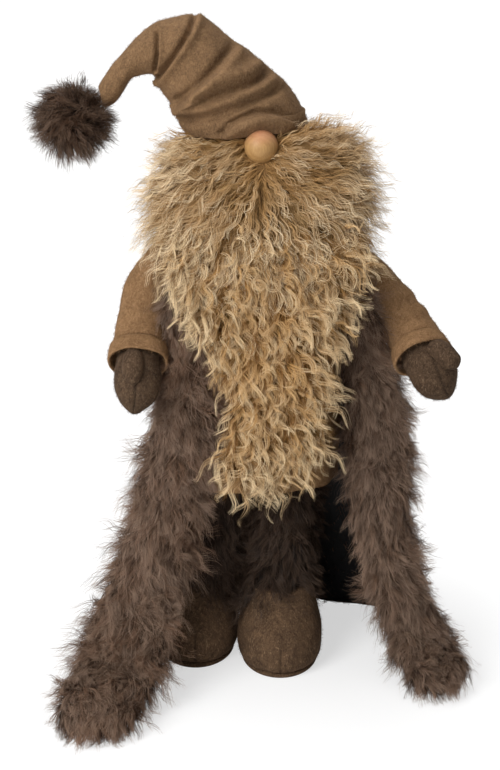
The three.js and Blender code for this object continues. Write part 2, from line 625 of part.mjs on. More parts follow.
// Head, nose and the hair round them
addPiece("head", cut(headForm(0), bodyForm(FIT)), CALICO);
addPiece("nose", cut(noseForm(0), headForm(FIT), crownForm(FIT)), WOOD);
function hairForm(grow) {
  const stations = HAIR_LEVELS.map(({ z, wide, front, back }) => ({
    at: at(HAIR_X, (front + back) / 2, z),
    wide,
    deep: (back - front) / 2,
  }));
  return stuffed(stations, { side: ACROSS, normal: UP, rings: 5, count: 20, domes: [0, HAIR_DOME], grow });
}
const hairSeats = [headForm(FIT), crownForm(FIT), noseForm(FIT), bodyForm(FIT)];
addPiece("face_hair", cut(keepBefore(hairForm(0), HAIR_SEAM_Y), ...hairSeats, ...beardRoom), BEARD_FUR);
addPiece("back_hair", cut(keepBehind(hairForm(0), HAIR_SEAM_Y + FIT), ...hairSeats), BEARD_FUR);

// Coat fronts with their trains, the flaring back and its lining
function frontForm(stations, grow) {
  const folds = (angle, t) => TRAIN_FOLD_DEPTH * t * Math.cos(TRAIN_FOLDS * angle);
  return stuffed(stations, { side: ACROSS, rings: 15, count: 20, domes: [0, TRAIN_END_DOME], grow, folds });
}

const shoulders = new THREE.CatmullRomCurve3(BODY_STATIONS.map(({ wide, deep }) => at(wide, deep, 0)));
const bodySpine = new THREE.CatmullRomCurve3(BODY_STATIONS.map((station) => station.at));
const SHOULDER_SHARE = (BODY_STATIONS.length - 2) / (BODY_STATIONS.length - 1);
function collarLevel(share) {
  const size = shoulders.getPoint(share);
  const centre = bodySpine.getPoint(share);
  const clear = 2 * FIT + LINING + COAT_SLACK;
  return { at: centre, wide: size.x + clear, deep: size.y + clear };
}

const COLLAR_RISE = (COAT_TOP - SHOULDER_HEIGHT) / (NECK_HEIGHT - SHOULDER_HEIGHT);
const coatStations = [
  collarLevel(SHOULDER_SHARE + (1 - SHOULDER_SHARE) * COLLAR_RISE),
  collarLevel(SHOULDER_SHARE),
  ...COAT_LEVELS.map(({ x, y, z, wide, deep }) => ({ at: at(x, y, z), wide, deep })),
];
const coatSpine = new THREE.CatmullRomCurve3(coatStations.map((station) => station.at));
const coatSizes = new THREE.CatmullRomCurve3(coatStations.map(({ wide, deep }) => at(wide, deep, 0)));

// A sheet of the coat's back, an even distance out from its inner face
function coatSheet(inside, outside) {
  return (u, v, k) => {
    const size = coatSizes.getPoint(v);
    const centre = coatSpine.getPoint(v);
    const closed = THREE.MathUtils.smoothstep(v, ARMHOLE_TOP_SHARE, ARMHOLE_FOOT_SHARE);
    const left = THREE.MathUtils.lerp(COAT_TOP_REACH, COAT_SIDE_REACH_LEFT, closed);
    const right = THREE.MathUtils.lerp(COAT_TOP_REACH, COAT_SIDE_REACH_RIGHT, closed);
    const angle = THREE.MathUtils.degToRad(THREE.MathUtils.lerp(-left, right, u));
    const fold = COAT_FOLD_DEPTH * v * v * Math.cos(COAT_FOLDS * angle);
    const out = fold + (k ? outside : inside);
    const aside = (size.x + out) * Math.sin(angle);
    const behind = (size.y + out) * Math.cos(angle);
    return centre.clone().add(at(aside, behind, 0));
  };
}

const coatFronts = [
  { side: "left", stations: LEFT_FRONT, pivot: LEFT_TRAIN_PIVOT, swing: -TRAIN_SWING },
  { side: "right", stations: RIGHT_FRONT, pivot: RIGHT_TRAIN_PIVOT, swing: TRAIN_SWING },
];
const frontRooms = [];
for (const { side, stations, pivot, swing } of coatFronts) {
  const front = frontForm(stations, 0);
  const upper = keepAbove(front, TRAIN_SPLIT + FIT);
  const train = keepAbove(keepBelow(front, TRAIN_SPLIT), 0);
  const seats = [bodyForm(FIT), hairForm(FIT), beardForm(FIT)];
  addPiece(`coat_front_${side}`, cut(upper, ...seats, ...armRoom), COAT_FUR);
  addPiece(`coat_train_${side}`, cut(train, bodyForm(FIT), ...armRoom), COAT_FUR);
  const room = frontForm(stations, FIT);
  frontRooms.push(room, ...turned(keepBelow(room, TRAIN_SPLIT), pivot, UP, [swing]));
}
const coatCuts = [bodyForm(FIT), hairForm(FIT), ...frontRooms, ...armRoom];
addPiece("coat_back", cut(slab(coatSheet(0, COAT_PILE), 20, 6), ...coatCuts), COAT_FUR);
const lining = keepAbove(slab(coatSheet(-FIT - LINING, -FIT), 20, 6), LINING_HEM);
addPiece("coat_lining", cut(lining, ...coatCuts), SATIN);

// The origin goes to the middle of the footprint, on the floor
const box = new THREE.Box3().setFromObject(figure, true);
const middle = box.getCenter(at(0, 0, 0));
figure.position.set(-middle.x, -middle.y, -box.min.z);

export default figure;
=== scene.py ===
"""The looks of a standing stuffed gnome figure: felt hat, wooden nose, curly beard,
felt arms and boots, and a long pile coat."""
import math

import bpy
import numpy as np
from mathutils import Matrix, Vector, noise
from mathutils.kdtree import KDTree


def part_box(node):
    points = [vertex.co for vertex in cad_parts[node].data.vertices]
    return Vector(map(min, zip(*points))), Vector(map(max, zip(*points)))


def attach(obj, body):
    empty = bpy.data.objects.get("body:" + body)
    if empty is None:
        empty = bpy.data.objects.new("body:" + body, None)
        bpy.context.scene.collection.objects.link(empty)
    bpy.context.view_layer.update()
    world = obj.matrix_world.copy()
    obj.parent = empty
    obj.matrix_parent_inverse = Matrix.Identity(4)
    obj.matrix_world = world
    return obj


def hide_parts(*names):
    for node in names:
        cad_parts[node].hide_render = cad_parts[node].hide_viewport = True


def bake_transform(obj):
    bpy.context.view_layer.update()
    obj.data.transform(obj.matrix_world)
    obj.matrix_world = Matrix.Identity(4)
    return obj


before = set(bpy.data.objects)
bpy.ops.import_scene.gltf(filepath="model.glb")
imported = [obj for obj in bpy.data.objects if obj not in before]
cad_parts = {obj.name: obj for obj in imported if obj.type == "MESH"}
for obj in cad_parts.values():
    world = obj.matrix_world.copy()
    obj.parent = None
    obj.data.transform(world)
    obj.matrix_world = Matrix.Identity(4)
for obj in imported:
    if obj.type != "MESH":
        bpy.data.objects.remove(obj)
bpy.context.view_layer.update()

# Camera, light and floor: a plain white studio with soft light from above and in front.
# Lengths in this script are millimetres from the point on the floor under the figure's neck,
# with the face towards -Y, and place() takes them into the frame.
pompom_low, pompom_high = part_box("pompom")
pompom_middle = np.array([-182, -2, 597])
origin = (np.array(pompom_low) + np.array(pompom_high)) / 2 - pompom_middle / 1000


def place(points):
    """Points in millimetres, taken into the frame."""
    return np.asarray(points, float) / 1000 + origin


photo_height = 770
focal_pixels = 1660
sensor_wide = 36
tilt_down = 17.6
scene = bpy.context.scene
scene.view_settings.view_transform = "Standard"
camera_data = bpy.data.cameras.new("camera")
camera_data.sensor_width = sensor_wide
camera_data.lens = focal_pixels * sensor_wide / photo_height
camera = bpy.data.objects.new("camera", camera_data)
camera.location = place((0, -1700, 850))
camera.rotation_euler = (math.radians(90 - tilt_down), 0, 0)
scene.collection.objects.link(camera)
scene.camera = camera


class Wire:
    """A shader socket that takes part in sums, and makes any other node in its tree."""

    def __init__(self, tree, socket=None):
        self.tree = tree
        self.socket = socket

    def feed(self, socket, value):
        """Links a wire into a socket, or sets the socket's plain value."""
        if isinstance(value, Wire):
            self.tree.links.new(value.socket, socket)
        else:
            socket.default_value = value

    def make(self, kind, *values, output=0, settings=None, **named):
        """A new node, fed by place and by name, as a wire from one of its outputs."""
        node = self.tree.nodes.new("ShaderNode" + kind)
        for key, value in (settings or {}).items():
            setattr(node, key, value)
        for number, value in enumerate(values):
            self.feed(node.inputs[number], value)
        for key, value in named.items():
            self.feed(node.inputs[key.replace("_", " ")], value)
        return Wire(self.tree, node.outputs[output])

    def into(self, socket):
        self.tree.links.new(self.socket, socket)

    def sum(self, operation, first, second):
        return self.make("Math", first, second, settings={"operation": operation})

    def __add__(self, other):
        return self.sum("ADD", self, other)

    def __rsub__(self, other):
        return self.sum("SUBTRACT", other, self)

    def __mul__(self, other):
        return self.sum("MULTIPLY", self, other)

    __radd__ = __add__
    __rmul__ = __mul__

    def ramp(self, low, high):
        """0 below low, 1 above high, smooth between."""
        settings = {"interpolation_type": "SMOOTHSTEP"}
        return self.make("MapRange", self, low, high, 0.0, 1.0, settings=settings)

    def mix(self, first, second):
        """The first colour where this is 0, the second where it is 1."""
        mixed = self.make("Mix", output=2, settings={"data_type": "RGBA"}, Factor=self)
        colours = [socket for socket in mixed.socket.node.inputs if socket.type == "RGBA"]
        for socket, value in zip(colours, (first, second)):
            self.feed(socket, value)
        return mixed


world = bpy.data.worlds.new("studio")
world.use_nodes = True
scene.world = world
sky = Wire(world.node_tree)
background = world.node_tree.nodes["Background"].inputs
seen = sky.make("LightPath", output="Is Camera Ray") + sky.make("LightPath", output="Is Glossy Ray")
seen = seen + sky.make("LightPath", output="Is Transmission Ray")
(0.32 + 0.68 * seen.ramp(0.0, 0.5)).into(background["Strength"])
background["Color"].default_value = (1, 1, 1, 1)

for name, spot, aim, size, power in (
    ("key", (-1240, -1450, 1450), (0, -40, 330), 1.2, 46),
    ("fill", (-100, -1900, 450), (-20, -40, 120), 1.2, 2),
    ("top", (-100, 200, 2200), (0, 0, 300), 1.6, 20),
):
    lamp = bpy.data.lights.new(name, "AREA")
    lamp.energy = power
    lamp.size = size
    lamp_object = bpy.data.objects.new(name, lamp)
    lamp_object.location = place(spot)
    target = bpy.data.objects.new(name + "_aim", None)
    target.location = place(aim)
    track = lamp_object.constraints.new("TRACK_TO")
    track.target = target
    track.track_axis = "TRACK_NEGATIVE_Z"
    track.up_axis = "UP_Y"
    scene.collection.objects.link(lamp_object)
    scene.collection.objects.link(target)

floor_mesh = bpy.data.meshes.new("floor")
floor_mesh.from_pydata([(-30, -30, 0), (30, -30, 0), (30, 30, 0), (-30, 30, 0)], [], [(0, 1, 2, 3)])
floor = bpy.data.objects.new("floor", floor_mesh)
scene.collection.objects.link(floor)
floor_paint = bpy.data.materials.new("floor")
floor_paint.use_nodes = True
floor_tree = floor_paint.node_tree
floor_tree.nodes.remove(floor_tree.nodes["Principled BSDF"])
wire = Wire(floor_tree)
paint = wire.make("BsdfDiffuse", (0.95, 0.95, 0.95, 1))
glow = wire.make("Emission", (1, 1, 1, 1), 1.1)
camera_ray = wire.make("LightPath", output="Is Camera Ray")
spot = wire.make("TexCoord", output="Object")
distance = wire.make("VectorMath", spot, output="Value", settings={"operation": "LENGTH"})
glow_share = (0.55 + 0.45 * distance.ramp(0.16, 0.46)) * camera_ray
surface = wire.make("MixShader", glow_share, paint, glow)
surface.into(floor_tree.nodes["Material Output"].inputs["Surface"])
floor_mesh.materials.append(floor_paint)

# The hat is one cone of thick wool felt, sewn up the back and lightly stuffed. It leans to the
# left, folds over at a crease and hangs down to a thin end. The felt is a melange of browns.


def srgb(*rgb):
    """A colour as a picture gives it, 0 to 255, for a shader."""
    parts = [value / 255 for value in rgb]
    return tuple(p / 12.92 if p <= 0.04045 else ((p + 0.055) / 1.055) ** 2.4 for p in parts) + (1.0,)


def catmull(rows, shares):
    """A smooth curve through the rows, read at shares of its length."""
    rows = np.asarray(rows, float)
    last = len(rows) - 1
    spot = np.clip(shares, 0, 1) * last
    index = np.minimum(spot.astype(int), last - 1)
    part = (spot - index)[:, None]
    ends = np.vstack([2 * rows[0] - rows[1], rows, 2 * rows[-1] - rows[-2]])
    a, b, c, d = (ends[index + k] for k in range(4))
    squared = (2 * a - 5 * b + 4 * c - d) * part**2
    cubed = (3 * b - a - 3 * c + d) * part**3
    return 0.5 * (2 * b + (c - a) * part + squared + cubed)


def once_round(count):
    """That many angles, evenly once round."""
    return np.linspace(0, 2 * np.pi, count, endpoint=False)


def off_line(angle, line):
    """How far round each angle lies from a line's angle, either way."""
    return np.angle(np.exp(1j * (angle - line)))


def bell(values, wide):
    """1 where values are 0, falling to 0 over about that width."""
    return np.exp(-((values / wide) ** 2))


def unit(vectors):
    return vectors / np.maximum(np.linalg.norm(vectors, axis=-1, keepdims=True), 1e-9)


def swell(grid, height):
    """Rings of points moved outward along their normals, each by its height."""
    along = np.gradient(grid, axis=0)
    around = np.roll(grid, -1, 1) - np.roll(grid, 1, 1)
    normal = unit(np.cross(around, along))
    away = grid - grid.mean(1, keepdims=True)
    normal = normal * np.where((normal * away).sum() < 0, -1.0, 1.0)
    return grid + normal * height[..., None]


def lumps(grid, size, height, seed):
    """Soft lumps of that size and height over a grid of points."""
    flat = grid.reshape(-1, 3) / size + seed * 7.31
    return height * np.array([noise.noise(p) for p in flat]).reshape(grid.shape[:-1])


def crease(grid, line, deep, wide, ridge):
    """How far cloth sinks along a line of (x, z) points, with a swelling to the line's left."""
    best = np.full(grid.shape[:-1], 1e9)
    hand = np.zeros(grid.shape[:-1])
    for start, end in zip(line, line[1:]):
        run = np.subtract(end, start)
        away = grid[..., [0, 2]] - start
        share = np.clip(away @ run / (run @ run), 0, 1)
        gap = np.linalg.norm(away - share[..., None] * run, axis=-1)
        nearer = gap < best
        best = np.where(nearer, gap, best)
        hand = np.where(nearer, np.sign(run[0] * away[..., 1] - run[1] * away[..., 0]), hand)
    return ridge * bell(hand * best - 1.8 * wide, 1.5 * wide) - deep * bell(best, wide)


def add_piece(name, mesh, material):
    """An object of that mesh in the scene."""
    mesh.materials.append(material)
    piece = bpy.data.objects.new(name, mesh)
    scene.collection.objects.link(piece)
    return piece


def mesh_piece(name, points, faces, material):
    """A smooth mesh object from points in millimetres."""
    mesh = bpy.data.meshes.new(name)
    mesh.from_pydata(place(points).tolist(), [], [list(map(int, face)) for face in faces])
    mesh.update()
    mesh.polygons.foreach_set("use_smooth", np.ones(len(mesh.polygons), bool))
    return add_piece(name, mesh, material)


def skin(name, grid, material, seam=None):
    """A closed piece over rings of points, each end closed to its middle, with its faces turned
    outward. seam marks sewn lines, which felt darkens with painted shade."""
    rings, count = grid.shape[:2]
    points = np.vstack([grid.reshape(-1, 3), grid[0].mean(0), grid[-1].mean(0)])
    index = np.arange(rings * count).reshape(rings, count)
    beside = np.roll(index, -1, axis=1)
    faces = np.stack([index[:-1], beside[:-1], beside[1:], index[1:]], -1).reshape(-1, 4).tolist()
    first, last = rings * count, rings * count + 1
    faces += [[first, b, a] for a, b in zip(index[0], beside[0])]
    faces += [[last, a, b] for a, b in zip(index[-1], beside[-1])]
    tips = np.array([face[:3] for face in faces])
    middle = points.mean(0)
    a, b, c = (points[tips[:, k]] - middle for k in range(3))
    if (a * np.cross(b, c)).sum() < 0:
        faces = [face[::-1] for face in faces]
    piece = mesh_piece(name, points, faces, material)
    marks = np.zeros(len(points), np.float32)
    if seam is not None:
        marks[: rings * count] = seam.ravel()
    piece.data.attributes.new("seam", "FLOAT", "POINT").data.foreach_set("value", marks)
    return piece


def new_material(name, **plain):
    """A material with some plain inputs set, its shader's inputs, and a wire to make nodes with."""
    material = bpy.data.materials.new(name)
    material.use_nodes = True
    shader = material.node_tree.nodes["Principled BSDF"].inputs
    for key, value in plain.items():
        shader[key.replace("_", " ")].default_value = value
    return material, shader, Wire(material.node_tree)


def felt(name, dark, light, fleck, grain, speck=0.4):
    """Pressed wool: two browns in soft clouds, pale fibres and a matted surface."""
    dark, light, fleck = (srgb(*colour) for colour in (dark, light, fleck))
    sheen = {"Sheen_Weight": 0.18, "Sheen_Roughness": 0.6, "Sheen_Tint": light}
    material, shader, wire = new_material(name, Specular_IOR_Level=0.15, **sheen)
    spot = wire.make("TexCoord", output="Object")
    cloud = wire.make("TexNoise", spot, Scale=38.0, Detail=4.0, Roughness=0.62)
    matted = wire.make("TexNoise", spot, Scale=230.0 * grain, Detail=4.0, Roughness=0.65, Distortion=1.6)
    brushed = wire.make("Mapping", spot, Rotation=(0.5, 0.7, 0.3), Scale=(1.0, 1.0, 0.4))
    fibre = wire.make("TexNoise", brushed, Scale=620.0 * grain, Detail=3.0, Roughness=0.6, Distortion=1.8)
    seam_shade = wire.make("Attribute", output="Fac", settings={"attribute_name": "seam"})
    tone = cloud.ramp(0.32, 0.68) * 0.25 + matted.ramp(0.34, 0.66) * 0.35 + fibre.ramp(0.36, 0.64) * 0.4
    flecked = (fibre.ramp(0.56, 0.72) * speck).mix(tone.mix(dark, light), fleck)
    # Along the seams the felt is darkened: painted shade in the seam grooves.
    shade = tuple(value * 0.35 for value in dark[:3]) + (1.0,)
    (seam_shade * 0.75).mix(flecked, shade).into(shader["Base Color"])
    (0.86 + fibre * 0.14).into(shader["Roughness"])
    height = fibre * 0.6 + matted * 1.0 + cloud * 0.5
    wire.make("Bump", Strength=0.35, Distance=0.0018, Height=height).into(shader["Normal"])
    return material


def pile_fibre(name, root, middle, tip, warm):
    """Strands, dark at the root and pale at the tip, some warmer and some darker than others. The dark
    root is partly the fibre's own colour and partly painted shade deep in the pile.
    """
    root, middle, tip, warm = (srgb(*colour) for colour in (root, middle, tip, warm))
    material, shader, wire = new_material(name, Specular_IOR_Level=0.16)
    chart = wire.make("UVMap", settings={"uv_map": "OFBake"})
    tone = wire.make("SeparateXYZ", chart, output="X")
    along = wire.make("SeparateXYZ", chart, output="Y")
    # The root colour holds painted shade deep in the pile as well as the fibre's darker root.
    lower = along.ramp(0.0, 0.45).mix(root, middle)
    whole = along.ramp(0.35, 1.0).mix(lower, tip)
    warmed = (tone.ramp(0.45, 1.0) * 0.72).mix(whole, warm)
    # Strands of low tone take this shade colour: some locks at random, and painted shade where a piece's
    # tones are lowered.
    shade = tuple(value * 0.45 for value in middle[:3]) + (1.0,)
    ((1.0 - tone.ramp(0.0, 0.4)) * 0.6).mix(warmed, shade).into(shader["Base Color"])
    (0.62 - along * 0.14).into(shader["Roughness"])
    return material


def scatter(piece, amount, rng, weight=None, flow=None):
    """Random roots over a piece, in millimetres, with their normals and the flow there."""
    mesh = piece.data
    mesh.calc_loop_triangles()
    corners = np.empty(len(mesh.loop_triangles) * 3, np.int32)
    mesh.loop_triangles.foreach_get("vertices", corners)
    corners = corners.reshape(-1, 3)
    points = np.empty(len(mesh.vertices) * 3)
    mesh.vertices.foreach_get("co", points)
    points = (points.reshape(-1, 3) - origin) * 1000
    normals = np.empty(len(mesh.vertices) * 3)
    mesh.vertices.foreach_get("normal", normals)
    normals = normals.reshape(-1, 3)
    a, b, c = (points[corners[:, k]] for k in range(3))
    area = np.linalg.norm(np.cross(b - a, c - a), axis=1) / 2
    if weight is not None:
        area = area * weight((a + b + c) / 3, normals[corners].mean(1))
    pick = rng.choice(len(corners), amount, p=area / area.sum())
    share = rng.dirichlet((1, 1, 1), amount)[..., None]
    roots = (points[corners[pick]] * share).sum(1)
    stand = unit((normals[corners[pick]] * share).sum(1))
    run = None if flow is None else unit((flow[corners[pick]] * share).sum(1))
    return roots, stand, run


def ribbons(name, path, half, chart, material):
    """A mesh of ribbons along paths, half to each side. chart holds each point's place in the colours."""
    amount, stops = path.shape[:2]
    points = np.stack([path - half, path + half], axis=2)
    corner = np.arange(amount * stops * 2).reshape(amount, stops, 2)
    quads = [corner[:, :-1, 0], corner[:, :-1, 1], corner[:, 1:, 1], corner[:, 1:, 0]]
    faces = np.stack(quads, -1).reshape(-1, 4)
    mesh = bpy.data.meshes.new(name)
    mesh.vertices.add(corner.size)
    mesh.vertices.foreach_set("co", place(points.reshape(-1, 3)).astype(np.float32).ravel())
    mesh.loops.add(faces.size)
    mesh.loops.foreach_set("vertex_index", faces.astype(np.int32).ravel())
    mesh.polygons.add(len(faces))
    mesh.polygons.foreach_set("loop_start", np.arange(0, faces.size, 4, dtype=np.int32))
    mesh.polygons.foreach_set("use_smooth", np.ones(len(faces), bool))
    layer = mesh.uv_layers.new(name="OFBake")
    layer.data.foreach_set("uv", chart.reshape(-1, 2)[faces.ravel()].astype(np.float32).ravel())
    mesh.update(calc_edges=True)
    return add_piece(name, mesh, material)


def pile(name, roots, normals, flow, material, rng, *, long, segments, stand, lay, stray, wave, turns,
         sag, gather, wide=0.6, lock=1, bunch=0, spread=0.8, shorter=1.0, curl=0.0, tone=0.5, fair=0.0,
         loose=0.35):
    """Tapering ribbon strands in locks: each lock leans, waves and gathers together. With bunch, every
    root grows a tight lock of that many strands, and otherwise about lock near roots share one. fair
    leaves out the dark root and its painted shade."""
    shorter, tone, fair = (np.broadcast_to(value, len(roots)) for value in (shorter, tone, fair))
    if bunch:
        locks = len(roots)
        of = np.repeat(np.arange(locks), bunch)
        heads = np.arange(locks) * bunch
        roots = roots[of] + rng.normal(0, spread, (locks * bunch, 3))
        normals, flow, shorter, tone, fair = (values[of] for values in (normals, flow, shorter, tone, fair))
    else:
        locks = max(1, len(roots) // lock)
        heads = rng.choice(len(roots), locks, replace=False)
        tree = KDTree(locks)
        for number, head in enumerate(heads):
            tree.insert(roots[head], number)
        tree.balance()
        of = np.array([tree.find(root)[1] for root in roots])
    amount = len(roots)
    lean = rng.normal(size=(locks, 3)) * stray
    lean += curl * 1.6 * np.array([noise.noise_vector(roots[head] / 26) for head in heads])
    lean = lean[of] + rng.normal(size=(amount, 3)) * stray * loose
    inward = np.minimum((lean * normals).sum(1, keepdims=True), 0)
    way = unit(normals * stand + flow * lay + lean - inward * normals)
    reach = long * rng.uniform(0.72, 1.22, locks)[of] * rng.uniform(0.82, 1.08, amount)
    reach = reach * shorter
    share = np.linspace(0, 1, segments + 1)[None, :, None]
    drop = np.array([0, 0, -1.0]) * sag
    path = roots[:, None] + reach[:, None, None] * (way[:, None] * share + 0.5 * drop * share**2)
    side = unit(np.cross(way, normals + [0.01, 0.02, 0.0]))
    lift = np.cross(side, way)
    phase = rng.uniform(0, 2 * np.pi, locks)[of] + rng.normal(0, 0.3, amount)
    turn = (2 * np.pi * rng.uniform(*turns, locks)[of])[:, None, None] * share + phase[:, None, None]
    swing = (rng.uniform(0.7, 1.3, locks)[of] * shorter**2)[:, None, None] * share**0.7
    path = path + swing * (wave[0] * np.cos(turn) * side[:, None] + wave[1] * np.sin(turn) * lift[:, None])
    path = path + gather * share**1.2 * (path[heads[of]] - path)
    clear_of_floor = 0.6
    path[..., 2] = np.maximum(path[..., 2], clear_of_floor)
    run = unit(np.gradient(path, axis=1))
    across = unit(np.cross(run, normals[:, None]))
    spin = rng.uniform(-0.7, 0.7, amount)[:, None, None]
    across = across * np.cos(spin) + np.cross(across, run) * np.sin(spin)
    half = wide / 2 * rng.uniform(0.7, 1.2, amount)[:, None, None] * (1 - 0.85 * share**1.6)
    patch = np.array([noise.noise(roots[head] / 34) for head in heads])
    lock_tone = tone[heads] + rng.normal(0, 0.2, locks) + 0.3 * patch
    tone = np.clip(lock_tone[of] + rng.normal(0, 0.08, amount), 0, 0.999)
    tones = 48
    tone = (np.floor(tone * tones) + 0.5) / tones
    chart = np.empty((amount, segments + 1, 2, 2))
    chart[..., 0] = tone[:, None, None] + np.array([-0.008, 0.008])
    chart[..., 1] = 0.01 + 0.98 * (fair[:, None, None] + (1 - fair[:, None, None]) * share)
    return ribbons(name, path, across * half, chart, material)


def fuzz(piece, amount, material, rng):
    """Short loose wool fibres lying on a felt piece."""
    roots, normals, _ = scatter(piece, amount, rng)
    lie = unit(np.cross(normals, rng.normal(size=normals.shape)))
    return pile(piece.name + "_fuzz", roots, normals, lie, material, rng, long=3.4, wide=0.24, segments=3,
                stand=0.5, lay=0.8, stray=0.3, wave=(0.5, 0.4), turns=(0.5, 1.0), sag=0.2, gather=0.0)


# Without a seed, the noise that leans the locks would start from the clock.
noise.seed_set(1)
hat_felt = felt("hat_felt", (83, 62, 42), (134, 104, 74), (166, 136, 102), 0.85, 0.25)
hat_wool = pile_fibre("hat_wool", (88, 66, 46), (118, 92, 67), (142, 116, 88), (128, 96, 66))

# Each row is the left and right edge of the hat (x, z, x, z) and its half depth.
hat_rows = [
    (-66, 583, 60, 590, 63),
    (-73, 593, 54, 606, 63),
    (-75, 604, 43, 624, 60),
    (-81, 614, 27, 641, 56),
    (-88, 623, 5, 659, 51),
    (-94, 633, -20, 678, 46),
    (-97, 641, -48, 699, 40),
    (-102, 643, -74, 699, 34),
    (-110, 641, -96, 692, 30),
    (-120, 637, -114, 679, 26),
    (-128, 626, -129, 662, 21),
    (-137, 614, -143, 646, 16),
    (-147, 607, -154, 630, 12),
]
rings, count = 150, 144
rows = catmull(hat_rows, np.linspace(0, 1, rings))
left, right = rows[:, [0, 1]], rows[:, [2, 3]]
middle, reach = (left + right) / 2, (right - left) / 2
angle = once_round(count)
hat = np.zeros((rings, count, 3))
hat[..., 0] = middle[:, :1] + reach[:, :1] * np.cos(angle)
hat[..., 2] = middle[:, 1:] + reach[:, 1:] * np.cos(angle)
hat[..., 1] = -2 - rows[:, 4:5] * np.sin(angle)
front = np.clip(np.sin(angle) * 2.2, 0, 1)[None, :]
back = np.clip(-np.sin(angle) * 2.2, 0, 1)[None, :]
past_front = np.clip(front + 0.25, 0, 1)
# Each crease has the side it shows on, its line, its depth and width, and the swelling beside it.
creases = [
    (past_front, [(-54, 704), (-60, 688), (-68, 675), (-80, 658), (-92, 641)], 10.0, 2.8, 5.0),
    (front, [(-93, 686), (-92, 666), (-95, 648)], 9.0, 2.0, 2.5),
    (front, [(-16, 673), (-35, 653), (-50, 638), (-72, 620)], 8.0, 4.5, 5.0),
    (front, [(-46, 622), (-36, 627), (-11, 636), (7, 640), (17, 647)], 9.0, 5.0, 6.0),
    (front, [(-66, 600), (-44, 606), (-10, 617), (8, 624), (26, 630)], 6.5, 4.5, 5.0),
    (front, [(-28, 591), (-19, 601), (-11, 606), (7, 613), (26, 610), (39, 603), (50, 598)], 8.0, 3.2, 0.0),
    (front, [(-20, 592), (-5, 599), (8, 603), (25, 602), (38, 597)], -9.0, 7.0, 0.0),
    (back, [(-66, 690), (-80, 668), (-92, 645)], 6.0, 4.5, 2.5),
    (back, [(-74, 612), (-30, 640), (5, 652)], 4.0, 7.0, 3.0),
    (back, [(-70, 600), (-20, 612), (30, 622)], 3.0, 6.0, 2.0),
]
sink = sum(crease(hat, *shape) * shown for shown, *shape in creases)
sink += lumps(hat, 26, 1.3, 1) + lumps(hat, 9, 0.35, 2)
hat = swell(hat, sink)
# The front hem rises over the nose, and the felt is turned in all round it.
hem = bell(hat[0, :, 0] - 11, 26) * (np.sin(angle) > 0) * 3.0
fade = np.exp(-np.arange(rings) / 6.0)[:, None]
hat[..., 2] += hem * fade
inner = hat[0] * [0.94, 0.94, 1] + [0.06 * hat[0, :, 0].mean(), 0.06 * hat[0, :, 1].mean(), 0]
turned = np.stack([inner + [0, 0, up] for up in (16, 8, 1.5)] + [(inner + hat[0]) / 2 - [0, 0, 0.8]])
seam = np.zeros((rings + len(turned), count))
seam[len(turned):] = bell(off_line(angle, -np.pi / 2)[None, :] * rows[:, 4:5], 1.2)
hat_piece = skin("hat", np.vstack([turned, hat]), hat_felt, seam)
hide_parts("hat_crown", "hat_stuffing", "hat_tip")
hat_fuzz = fuzz(hat_piece, 16000, hat_wool, np.random.default_rng(5))
for piece in (hat_piece, hat_fuzz):
    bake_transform(piece)

# The nose is a turned wooden ball, waxed, with a blush of pink rubbed into its top, glued to the
# head under the hat's hem. It keeps its own solid.
wood, shader, wire = new_material("nose_wood", Specular_IOR_Level=0.35)
spot = wire.make("TexCoord", output="Object")
stretch = wire.make("Mapping", spot, Scale=(1.0, 1.0, 0.22))
year_rings = wire.make(
    "TexWave", stretch, settings={"wave_type": "RINGS", "rings_direction": "Z"},
    Scale=95.0, Distortion=3.5, Detail=3.0, Detail_Scale=1.4, output="Fac",
)
pores = wire.make("TexNoise", wire.make("Mapping", spot, Scale=(1.0, 1.0, 0.08)), Scale=1500.0, Detail=2.0)
tone = year_rings * 0.3 + pores.ramp(0.35, 0.7) * 0.4 + 0.15
body = tone.mix(srgb(147, 110, 64), srgb(176, 138, 88))
height = wire.make("SeparateXYZ", spot, output="Z")
blotch = wire.make("TexNoise", spot, Scale=55.0, Detail=2.0)
blush = (height + blotch * 0.012).ramp(0.583, 0.604)
(blush * 0.5).mix(body, srgb(196, 122, 100)).into(shader["Base Color"])
(0.42 + pores * 0.2).into(shader["Roughness"])
wire.make("Bump", Strength=0.12, Distance=0.0004, Height=tone).into(shader["Normal"])
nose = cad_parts["nose"]
nose.data.materials.clear()
nose.data.materials.append(wood)
nose.data.polygons.foreach_set("use_smooth", np.ones(len(nose.data.polygons), bool))

# The pom-pom is a ball of long dark pile, gathered and sewn to the end of the hat. Its strands
# grow from a lumpy knitted ground and lie in a swirl round it.


def backing(name, dark, light):
    """The knitted ground that pile grows from, mostly hidden under it."""
    material, shader, wire = new_material(name, Specular_IOR_Level=0.1)
    spot = wire.make("TexCoord", output="Object")
    knots = wire.make("TexNoise", spot, Scale=180.0, Detail=4.0, Roughness=0.6, Distortion=1.2)
    knots.ramp(0.3, 0.7).mix(srgb(*dark), srgb(*light)).into(shader["Base Color"])
    (0.85 + knots * 0.15).into(shader["Roughness"])
    wire.make("Bump", Strength=0.6, Distance=0.002, Height=knots).into(shader["Normal"])
    return material


